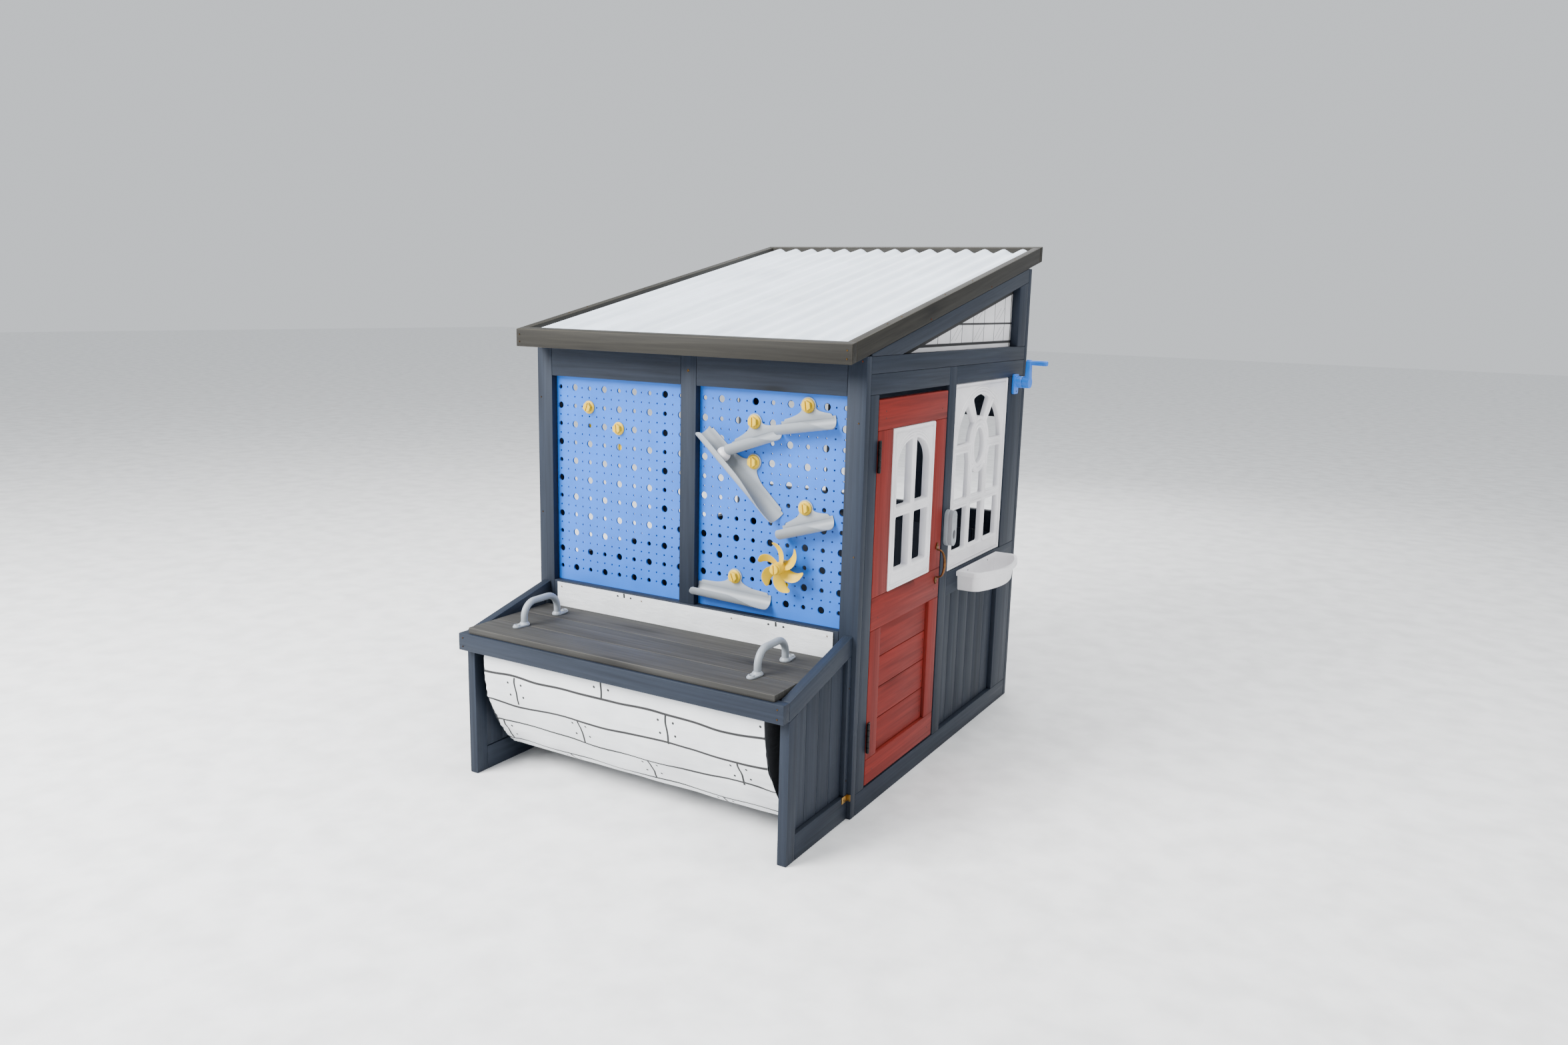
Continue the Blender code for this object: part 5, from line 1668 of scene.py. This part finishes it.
# -------------------------------------------------------------------- toy bin
@dataclass
class ToyBin:
    """Side panels, front rail, hanging canvas tub, lid and grab handles."""

    side_in: float = 0.487
    side_out: float = 0.513
    front: float = -0.313
    wall_top: float = 0.495
    front_top: float = 0.414
    half: float = 0.4575
    profile: tuple[Pair, ...] = (
        (-0.0026, 0.497), (-0.0026, 0.400), (-0.0040, 0.300), (-0.0140, 0.200), (-0.0480, 0.112),
        (-0.1000, 0.064), (-0.1550, 0.053), (-0.2000, 0.070), (-0.2560, 0.140), (-0.2930, 0.215),
        (-0.3120, 0.288), (-0.3170, 0.345), (-0.3122, 0.372), (-0.3106, 0.402))

    def build(self, fixings: Fixings) -> None:
        """Make the whole bin."""
        for side, sign in (("left", -1.0), ("right", 1.0)):
            self.side(side, sign)
            self.grab_handle(side, sign * 0.375, fixings)
            for z in (0.378, 0.402):
                fixings.add(Fixing.BRASS_SCREW, "-y", (sign * 0.497, -0.344, z))
        plain_boards("bin_front_rail")
        low, high = node_box("bin_lid")
        lid = Timber("bin_lid.planks").row(low, high, "y", 3, "x")
        lid.build(GREY_PLANK, "bin_lid", body="bin_cover")
        self.canvas(fixings)
        self.brackets(fixings)

    def top(self, y: float) -> float:
        """Height of the sloping edge of a side panel."""
        return self.front_top + (self.wall_top - self.front_top) * (y - self.front) / -self.front

    def side(self, name: str, sign: float) -> None:
        """A framed panel with upright boards set back in it, and the lid's cleat."""
        a, b = sorted((sign * self.side_in, sign * self.side_out))
        edge, wall, drop = self.front + 0.042, -0.020, 0.050
        panel = Timber(f"bin_side_{name}.boards")
        stile = [(self.front, 0.0), (edge - GAP, 0.0), (edge - GAP, self.top(edge) - drop - GAP),
                 (self.front, self.top(self.front) - drop - GAP)]
        panel.cut(stile, "x", a, b, UP)
        rail = [(self.front, self.top(self.front) - drop), (-GAP, self.top(0.0) - drop),
                (-GAP, self.wall_top), (self.front, self.front_top)]
        panel.cut(rail, "x", a, b, (0.0, 1.0, 0.26))
        panel.board((a, edge, 0.0), (b, -GAP, 0.068 - GAP), "y")
        panel.cut([(wall + GAP, 0.068), (-GAP, 0.068), (-GAP, self.top(0.0) - drop - GAP),
                   (wall + GAP, self.top(wall) - drop - GAP)], "x", a, b, UP)
        c, d = sorted((sign * (self.side_in + 0.003), sign * (self.side_out - 0.012)))
        step = (wall - edge) / 4.0
        for i in range(4):
            y0, y1 = edge + step * i + GAP, edge + step * (i + 1) - GAP
            tops = [(y, self.top(y) - drop - GAP) for y in (y1, y0)]
            panel.cut([(y0, 0.068), (y1, 0.068), *tops], "x", c, d, UP, 0.0028)
        e, f = sorted((sign * 0.4645, sign * (self.side_in - GAP)))
        panel.board((e, -0.300, 0.388), (f, -0.006, self.front_top), "y")
        panel.build(BLUE_STAIN, "bin_side_" + name)

    def grab_handle(self, side: str, x: float, fixings: Fixings) -> None:
        """A moulded arch with a flange and a screw ear at each foot."""
        top = node_box("grab_handle_" + side)[0].z
        crown, bend = top + 0.062, 0.040
        feet = (-0.2340, -0.1000)
        path = [(x, feet[0], top + 0.001 + k * 0.005) for k in range(4)]
        path += [(x, y, z) for y, z in arc((feet[0] + bend, crown - bend), bend, bend, 180.0, 90.0, 14)]
        path += [(x, y, z) for y, z in arc((feet[1] - bend, crown - bend), bend, bend, 90.0, 0.0, 14)]
        path += [(x, feet[1], top + 0.001 + k * 0.005) for k in range(3, -1, -1)]
        shape = Shape("grab_handle_" + side + ".moulding", 38.0)
        shape.tube(path, 0.0094, 20, OUT)
        for y, sign in ((feet[0], -1.0), (feet[1], 1.0)):
            tip = y + sign * 0.030
            outline = arc((x, y), 0.0145, 0.0145, 90.0 - 90.0 * sign, -90.0 - 90.0 * sign, 18)
            outline += arc((x, tip), 0.0110, 0.0110, -90.0 - 90.0 * sign, -270.0 - 90.0 * sign, 18)
            outline = rounded(outline, 0.001)
            shape.plate(outline, [], "z", top, top + 0.0048, 0.0012)
            rim = [(0.0046, 0.0046), (0.0046, 0.0076), (0.0054, 0.0084), (0.0078, 0.0084), (0.0088, 0.0074),
                   (0.0094, 0.0046)]
            rings = [[(x + r * math.cos(t), tip + r * math.sin(t), top + z) for r, z in rim]
                     for t in (math.tau * k / 28 for k in range(28))]
            shape.loft(rings, closed=True)
            shape.lathe([(0.0, 0.0046), (0.0138, 0.0046), (0.0132, 0.0062), (0.0100, 0.0098), (0.0, 0.0098)],
                        (x, y, top), "z", 28)
            fixings.add(Fixing.GREY_SCREW, "+z", (x, tip, top + 0.0048), body="bin_cover")
        shape.build(GREY, "grab_handle_" + side, body="bin_cover")

    def canvas(self, fixings: Fixings) -> None:
        """The long sheet that hangs from wall to rail, and the two sewn ends."""
        rows, columns = 150, 190
        line = spline([(0.0, *p) for p in self.profile], rows)
        length = sum((b - a).length for a, b in zip(line, line[1:]))
        rail_foot = next(i for i, p in enumerate(line) if i > rows / 2 and p.z > 0.366)
        points, flat = [], []
        for i, p in enumerate(line):
            ahead = (line[min(i + 1, rows)] - line[max(i - 1, 0)]).normalized()
            out = Vector((1.0, 0.0, 0.0)).cross(ahead)
            s = length * i / rows
            free = min(1.0, s / 0.14) * min(1.0, max(0.0, length - s - 0.045) / 0.10)
            for k in range(columns + 1):
                u = -1.0 + 2.0 * k / columns
                wide = self.half_at(i / rows)
                x = u * wide
                fold = noise.noise(Vector((x * 3.2, s * 17.0 + x * 2.5, 0.4))) * 0.0056
                fold += noise.noise(Vector((x * 9.0, s * 34.0, 5.0))) * 0.0022
                rim = max(0.0, abs(u) - 0.90) / 0.10
                fold += rim * noise.noise(Vector((9.0 * u, s * 62.0, 2.0))) * 0.0062
                hem = max(0.0, 1.0 - s / 0.085) * noise.noise(Vector((x * 26.0, s * 12.0, 8.0))) * 0.0008
                points.append(Vector((x, p.y, p.z)) + out * (free * fold - abs(hem)) + HOUSE)
                flat.append((x, length * (rail_foot / rows) - s))
        sheet = cloth_piece("bin_sling.canvas", points, grid_faces(rows, columns), flat, 0.0012)
        sheet.data.materials.append(CANVAS.material())
        sheet.data.materials.append(PLAIN.material())
        self.show_lining(sheet.data)
        settle(sheet, "house", ("bin_sling",), "canvas")
        self.ends(line)
        self.stitches(fixings)

    def show_lining(self, mesh: bpy.types.Mesh) -> None:
        """Leave the inside plain, but for the hem, which is turned over at the top.

        Args:
            mesh: The closed sheet, with the print on both of its sides.
        """
        heart, layer = Vector((0.0, -0.155, 0.300)) + HOUSE, mesh.uv_layers["cloth"]
        for face in mesh.polygons:
            inward = Vector((0.0, heart.y, heart.z)) - Vector((0.0, face.center.y, face.center.z))
            if Vector(face.normal).dot(inward) < 0.02 * inward.length:
                continue
            if face.center.z < 0.4815:
                face.material_index = 1
                continue
            for loop in face.loop_indices:
                place = mesh.vertices[mesh.loops[loop].vertex_index].co - HOUSE
                layer.data[loop].uv = (place.x + 0.374, 0.1045 + 0.497 - place.z)

    def half_at(self, share: float) -> float:
        """Half the canvas width: a little narrower where it meets the front rail."""
        return self.half - 0.013 * max(0.0, (share - 0.60) / 0.40)

    def ends(self, line: Sequence[Vector]) -> None:
        """Two flat panels sewn to the edges of the long sheet; their dark cloth is painted shade, for the
        shaded gap beside the bin sides.
        """
        rows, columns = len(line) // 2 - 1, 26
        for side, sign in (("left", -1.0), ("right", 1.0)):
            points, flat = [], []
            start = next(i for i, p in enumerate(line) if p.z < 0.400)
            for i in range(start, rows):
                a, b = line[i], line[len(line) - 1 - max(0, i - start + 1)]
                for k in range(columns + 1):
                    t = k / columns
                    p = a.lerp(b, t)
                    x = self.half * (1.0 - t) + self.half_at(1.0 - i / len(line)) * t - 0.0016
                    sway = 0.6 + noise.noise(Vector((t * 3.0, p.z * 9.0, sign)))
                    dent = 0.0050 * math.sin(math.pi * t) * sway
                    points.append(Vector((sign * (x - dent), p.y, p.z)) + HOUSE)
                    flat.append((p.y + 0.32, p.z))
            faces = grid_faces(rows - start - 1, columns)
            end = cloth_piece(f"bin_sling_end_{side}.canvas", points, faces, flat, 0.0012)
            # The dark end cloth is painted shade for the gap beside the bin sides.
            end.data.materials.append(END_PANEL_SHADE.material())
            settle(end, "house", (), "canvas")

    def stitches(self, fixings: Fixings) -> None:
        """A row of stitches along the wall hem, and the screws that hold it."""
        points = [Vector((-self.half + 0.004 + 0.01 * k, -0.0035, 0.4818)) + HOUSE for k in range(91)]
        edges = [(k, k + 1) for k in range(90)]
        seed = new_mesh("hem_stitches", points, edges)
        recipe = Recipe("stitches", {"Spacing": 0.0046, "Length": 0.0032, "Thickness": 0.00045})
        graph, size = recipe.graph, recipe.size
        curve = graph.add("GeometryNodeMeshToCurve", {}, {0: recipe.seed})
        dots = graph.add("GeometryNodeCurveToPoints", {"mode": 'LENGTH'},
                         {"Curve": curve, "Length": size("Spacing")})
        thread = graph.add("GeometryNodeMeshUVSphere", {}, {"Segments": 6, "Rings": 4, "Radius": 1.0})
        shape = graph.xyz(size("Length") * 0.5, size("Thickness"), size("Thickness"))
        thread = graph.add("GeometryNodeTransform", {}, {"Geometry": thread, "Scale": shape})
        rows = graph.add("GeometryNodeInstanceOnPoints", {}, {"Points": dots, "Instance": thread})
        recipe.finish(rows, THREAD)
        settle(recipe.run("hem_stitches", seed, 60.0), "house", (), "canvas")
        for x in (-0.441, -0.150, 0.150, 0.441):
            fixings.add(Fixing.BRASS_SCREW, "-y", (x, -0.0036, 0.485))

    def brackets(self, fixings: Fixings) -> None:
        """A brass angle at each corner where the bin meets the wall."""
        for side, sign in (("left", -1.0), ("right", 1.0)):
            shape = Shape("corner_angle_" + side, 30.0)
            outer = sorted((sign * self.side_out, sign * (self.side_out + 0.0016)))
            shape.box((outer[0], -0.030, 0.052), (outer[1], -0.0005, 0.070), 0.0004)
            wall = sorted((sign * self.side_out, sign * (self.side_out + 0.0110)))
            shape.box((wall[0], -0.0021, 0.052), (wall[1], -0.0005, 0.070), 0.0004)
            shape.build(BRASS, slot="bronze")
            facing = "+x" if sign > 0.0 else "-x"
            fixings.add(Fixing.BRASS_SCREW, facing, (sign * (self.side_out + 0.0016), -0.021, 0.061))
            fixings.add(Fixing.BRASS_SCREW, facing, (sign * self.side_out, -0.010, 0.110),
                        (sign * self.side_out, -0.010, 0.360))


# ----------------------------------------------------------------- marble run
@dataclass
class Chute:
    """One half-pipe: where its bolt is, its tilt and its length each side."""

    key: str
    column: int
    row: int
    tilt: float
    before: float
    after: float
    radius: float = 0.0255
    wall: float = 0.0024
    drop: float = 0.065

    def pivot(self) -> Vector:
        """The bolt's place, at the front of the back plate."""
        return Vector((PEG_RIGHT + PITCH * self.column, 0.0, PEG_TOP - PITCH * self.row))

    def section(self, along: float) -> list[Pair]:
        """Section of the pipe at a share of its length: (y, z) about its middle.

        Args:
            along: 0 at the left end, 1 at the right end.

        Returns:
            Its outline; the lip falls away in a curve towards both ends.
        """
        right = max(0.0, (along - 0.50) / 0.50)
        left = max(0.0, (0.075 - along) / 0.075)
        end = 4.0 - 84.0 * right ** 1.7 - 34.0 * left ** 3 - 8.0 * max(0.0, (along - 0.97) / 0.03) ** 2
        steps, inner = 20, self.radius - self.wall
        tip = -180.0 - end + 2.0
        outer = arc((0.0, 0.0), self.radius, self.radius, 0.0, tip, steps)
        middle = self.radius - self.wall / 2.0
        cap = math.radians(tip - 1.6)
        return ([(self.radius, 0.0075)] + outer + [(middle * math.cos(cap), middle * math.sin(cap))]
                + arc((0.0, 0.0), inner, inner, tip, 0.0, steps) + [(inner, 0.0075)])

    def build(self) -> None:
        """Loft the pipe, add its swept tab, and tilt both about the bolt."""
        low, high = node_box("chute_" + self.key)
        back = 0.0212
        axis_y, axis_z = back - self.radius, -self.drop + self.radius
        length = self.before + self.after
        shape = Shape(f"chute_{self.key}.moulding", 34.0)
        rings = []
        for i in range(49):
            share = 0.5 - 0.5 * math.cos(math.pi * i / 48.0)
            x = -self.before + length * share
            rings.append([(x, axis_y + y, axis_z + z) for y, z in self.section(share)])
        shape.loft(rings)
        base, front = axis_z + 0.002, back - 0.0030
        tab: list[Pair] = [(-self.before + 0.006, base), (self.after - 0.006, base)]
        tab += [(self.after - 0.012, base + 0.0105), (0.062 if self.after > 0.1 else 0.058, base + 0.0125)]
        flare = []
        for k in range(1, 12):
            t = k / 12.0
            flare.append((0.0205 + 0.0375 * (1.0 - t) ** 2.6, base + 0.0125 + (-0.004 - base - 0.0125) * t))
        tab += flare + arc((0.0, 0.0), 0.0218, 0.0218, -6.0, 186.0, 30) + [(-x, z) for x, z in flare[::-1]]
        tab += [(-0.062 if self.before > 0.1 else -0.058, base + 0.0125),
                (-self.before + 0.012, base + 0.0105)]
        shape.plate(tab, [oval((0.0, 0.0), 0.0068, 0.0068, 20)], "y", front, back, 0.0009)
        turn = Matrix.Rotation(math.radians(-self.tilt), 4, 'Y')
        pivot = self.pivot()
        shape.points = [turn @ p + pivot for p in shape.points]
        shape.build(GREY, "chute_" + self.key, body="run_" + self.key)
        log.info("chute_%s spans %.3f m", self.key, (high - low).length)


@dataclass
class MarbleRun:
    """Chutes, plastic bolts with their wing nuts, the spinner and the ball."""

    seat: float = 0.0179
    blades: int = 6

    def build(self) -> None:
        """Make every part of the run."""
        chutes = (Chute("a", 6, 0, 9.7, 0.085, 0.074), Chute("b", 3, 1, 19.5, 0.085, 0.070),
                  Chute("c", 3, 3, -42.1, 0.160, 0.153), Chute("d", 6, 5, 16.9, 0.080, 0.073),
                  Chute("e", 2, 9, -2.0, 0.116, 0.115))
        for chute in chutes:
            chute.build()
            self.bolt("bolt_" + chute.key, chute.pivot(), self.seat)
        for node, column, row in (("spare_bolt_upper", 2, 1), ("spare_bolt_lower", 4, 2)):
            self.bolt(node, Vector((PEG_LEFT + PITCH * column, 0.0, PEG_TOP - PITCH * row)), 0.0212)
        self.spinner()
        self.ball()

    def head(self, shape: Shape, x: float, z: float, base: float, turn: float, size: float = 0.0140) -> None:
        """A slotted hexagon: two halves on a low base, their edges softened."""
        corners = [turn + math.tau * k / 6 for k in range(6)]
        hexagon = [(x + size * math.cos(t), z + size * math.sin(t)) for t in corners]
        shape.plate(hexagon, [], "y", base - 0.0066, base, 0.0012)
        cut = Vector((math.cos(turn), math.sin(turn)))
        for side in (1.0, -1.0):
            normal = Vector((-cut.y, cut.x)) * side
            start = 0 if side > 0.0 else 3
            half = [Vector(hexagon[(start + k) % 6]) for k in range(4)]
            half[0] = half[0] + normal * 0.0013 - (half[0] - Vector((x, z))).normalized() * 0.0010
            half[3] = half[3] + normal * 0.0013 - (half[3] - Vector((x, z))).normalized() * 0.0010
            shape.plate([(p.x, p.y) for p in half], [], "y", base - 0.0100, base - 0.0062, 0.0014, 3)

    def bolt(self, node: str, place: Vector, seat: float) -> None:
        """Head on a domed flange, a shank, and a wing nut behind the board."""
        high = node_box(node)[1]
        shape = Shape(node + ".moulding", 30.0)
        x, z = place.x, place.z
        flange = [(0.0, 0.0), (0.0182, 0.0), (0.0187, -0.0010), (0.0184, -0.0024), (0.0168, -0.0038),
                  (0.0146, -0.0046), (0.0, -0.0046)]
        shape.lathe(flange, (x, seat, z), "y", 40)
        self.head(shape, x, z, seat - 0.0042, 0.9 + 0.37 * (x * 40.0 % 3.0))
        shank = [(0.0, -0.001), (0.0060, -0.001), (0.0060, 0.0030)]
        for k in range(8):
            along = 0.0045 + k * 0.0017
            if along < high.y - seat - 0.002:
                shank += [(0.0060, along), (0.0052, along + 0.0008)]
        shank += [(0.0050, high.y - seat - 0.0008), (0.0, high.y - seat)]
        shape.lathe(shank, (x, seat, z), "y", 20)
        shape.build(YELLOW, node)
        self.nut(node, x, z, high.y)

    def nut(self, node: str, x: float, z: float, end: float) -> None:
        """A round nut with one long wing that hangs down behind the board."""
        shape = Shape(node + ".nut", 32.0)
        back = 0.0268
        hub = oval((x, z), 0.0135, 0.0135, 28)
        shape.plate(hub, [oval((x, z), 0.0066, 0.0066, 20)], "y", back, end - 0.0006, 0.0012)
        wing = arc((x, z - 0.012), 0.0075, 0.0075, 0.0, 180.0, 8)
        wing += arc((x, z - 0.058), 0.0095, 0.0075, 180.0, 360.0, 12)
        shape.plate(wing, [], "y", back + 0.0030, back + 0.0080, 0.0015)
        shape.build(YELLOW)

    def spinner(self) -> None:
        """A wheel of curved, pitched blades on a slotted bolt."""
        high = node_box("spinner")[1]
        x, z = PEG_RIGHT + PITCH * 5, PEG_TOP - PITCH * 8
        front, back = -0.040, high.y
        wheel = Shape("spinner.moulding", 34.0)
        rings = []
        tube = [(0.0068, back), (0.0150, back), (0.0155, back - 0.0012), (0.0155, front + 0.0012),
                (0.0148, front), (0.0068, front)]
        for k in range(40):
            t = math.tau * k / 40
            rings.append([(x + r * math.cos(t), y, z + r * math.sin(t)) for r, y in tube])
        wheel.loft(rings, closed=True)
        for i in range(self.blades):
            self.blade(wheel, x, z, math.tau * i / self.blades + math.radians(20.0))
        wheel.build(YELLOW, "spinner", body="wheel")
        pin = Shape("spinner_bolt.moulding", 30.0)
        end = node_box("spinner_bolt")[1].y
        cap = [(0.0, 0.0), (0.0128, 0.0), (0.0130, -0.0010), (0.0127, -0.0028), (0.0, -0.0028)]
        pin.lathe(cap, (x, front - 0.0008, z), "y", 36)
        for start in (102.5, 282.5):
            half = arc((x, z), 0.0124, 0.0124, start, start + 167.0, 18)
            pin.plate(half, [], "y", front - 0.0069, front - 0.0030, 0.0013, 3)
        pin.lathe([(0.0, -0.001), (0.0060, -0.001), (0.0060, end - front - 0.001), (0.0, end - front)],
                  (x, front, z), "y", 20)
        pin.build(YELLOW, "spinner_bolt")
        self.nut("spinner_bolt", x, z, end)

    def blade(self, shape: Shape, x: float, z: float, angle: float) -> None:
        """One blade: a thin lens section that sweeps back as it reaches out."""
        rings = []
        for i in range(17):
            t = i / 16.0
            radius = 0.0125 + 0.0555 * t
            swing = angle + 0.55 * t * t
            pitch = math.radians(38.0 - 10.0 * t)
            tip = math.sqrt(max(0.0, 1.0 - max(0.0, t - 0.80) ** 2 / 0.043))
            half = (0.0125 + 0.0035 * math.sin(math.pi * t)) * tip
            radial = Vector((math.cos(swing), 0.0, math.sin(swing)))
            tangent = Vector((-math.sin(swing), 0.0, math.cos(swing)))
            across = tangent * math.cos(pitch) + Vector((0.0, math.sin(pitch), 0.0))
            normal = radial.cross(across).normalized()
            centre = Vector((x, -0.012, z)) + radial * radius
            section = oval((0.0, 0.0), max(half, 0.0015), 0.0014, 14)
            rings.append([centre + across * a + normal * (b + 0.0016 * (a / 0.0160) ** 2)
                          for a, b in section])
        shape.loft(rings)

    def ball(self) -> None:
        """A hollow moulded ball with a fine seam round it."""
        low, high = node_box("ball")
        centre, radius = (low + high) / 2.0, 0.0196
        profile = []
        for k in range(49):
            t = math.pi * k / 48.0
            reach = radius - 0.00012 + 0.00012 * math.exp(-((t - math.pi / 2.0) / 0.03) ** 2)
            profile.append((reach * math.sin(t), -reach * math.cos(t)))
        shape = Shape("ball.moulding", 60.0)
        shape.lathe(profile, centre, "z", 48)
        shape.build(WHITE, "ball", body="marble")


# ---------------------------------------------------------------------- studio
@dataclass
class Studio:
    """Floor, soft lights and the camera."""

    eye: Triple = (1.696, -2.983, 1.330)
    yaw: float = -29.97
    pitch: float = -11.03
    roll: float = -1.47
    lens: float = 26.39

    def build(self) -> None:
        """Make the floor, the lights, the sky light and the camera."""
        self.floor()
        self.light("key", (-2.6, -4.4, 4.2), (0.0, -0.2, 0.6), 3.2, 960.0)
        self.light("over", (0.4, 0.2, 4.6), (0.0, 0.0, 1.2), 3.6, 230.0)
        self.light("side", (4.6, -1.2, 2.2), (0.2, 0.2, 0.7), 3.0, 44.0)
        self.light("behind", (-1.0, 4.2, 3.0), (0.0, 0.6, 0.7), 3.0, 80.0)
        world = bpy.data.worlds.new("studio")
        world.use_nodes = True
        background = world.node_tree.nodes["Background"]
        background.inputs["Color"].default_value = (0.92, 0.96, 1.0, 1.0)
        background.inputs["Strength"].default_value = 0.85
        bpy.context.scene.world = world
        self.camera()

    def floor(self) -> None:
        """A wide, pale, faintly mottled floor."""
        mesh = new_mesh("floor", [(-30, -30, 0), (30, -30, 0), (30, 30, 0), (-30, 30, 0)], (), [(0, 1, 2, 3)])
        floor = linked("floor", mesh)
        mesh.materials.append(Moulded("pale_floor", paint(246, 246, 246), 0.9, 0.02, 0.0).material())

    def light(self, name: str, place: Triple, target: Triple, size: float, power: float) -> None:
        """A large soft lamp that faces a point."""
        lamp = bpy.data.lights.new(name, 'AREA')
        lamp.size = size
        lamp.energy = power
        obj = linked(name, lamp)
        obj.location = place
        obj.rotation_euler = (Vector(target) - Vector(place)).to_track_quat('-Z', 'Y').to_euler()

    def camera(self) -> None:
        """The camera, turned by yaw, pitch and roll."""
        data = bpy.data.cameras.new("camera")
        data.lens, data.sensor_width, data.sensor_fit = self.lens, 36.0, 'HORIZONTAL'
        camera = linked("camera", data)
        turn = Matrix.Rotation(math.radians(-self.yaw), 3, 'Z')
        turn = turn @ Matrix.Rotation(math.radians(90.0 + self.pitch), 3, 'X')
        turn = turn @ Matrix.Rotation(math.radians(-self.roll), 3, 'Z')
        camera.matrix_world = Matrix.Translation(self.eye) @ turn.to_4x4()
        bpy.context.scene.camera = camera


def main() -> None:
    """Load the frame and dress it."""
    logging.basicConfig(level=logging.INFO, format="%(message)s")
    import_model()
    Studio().build()
    fixings = Fixings()
    FrontWall().build(fixings)
    DoorSide().build(fixings)
    PlainSides().build()
    WallWindow().build()
    Door().build(fixings)
    SideFittings().build(fixings)
    Roof().build(fixings)
    ToyBin().build(fixings)
    MarbleRun().build()
    fixings.build()
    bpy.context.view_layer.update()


if __name__ == "__main__":
    main()
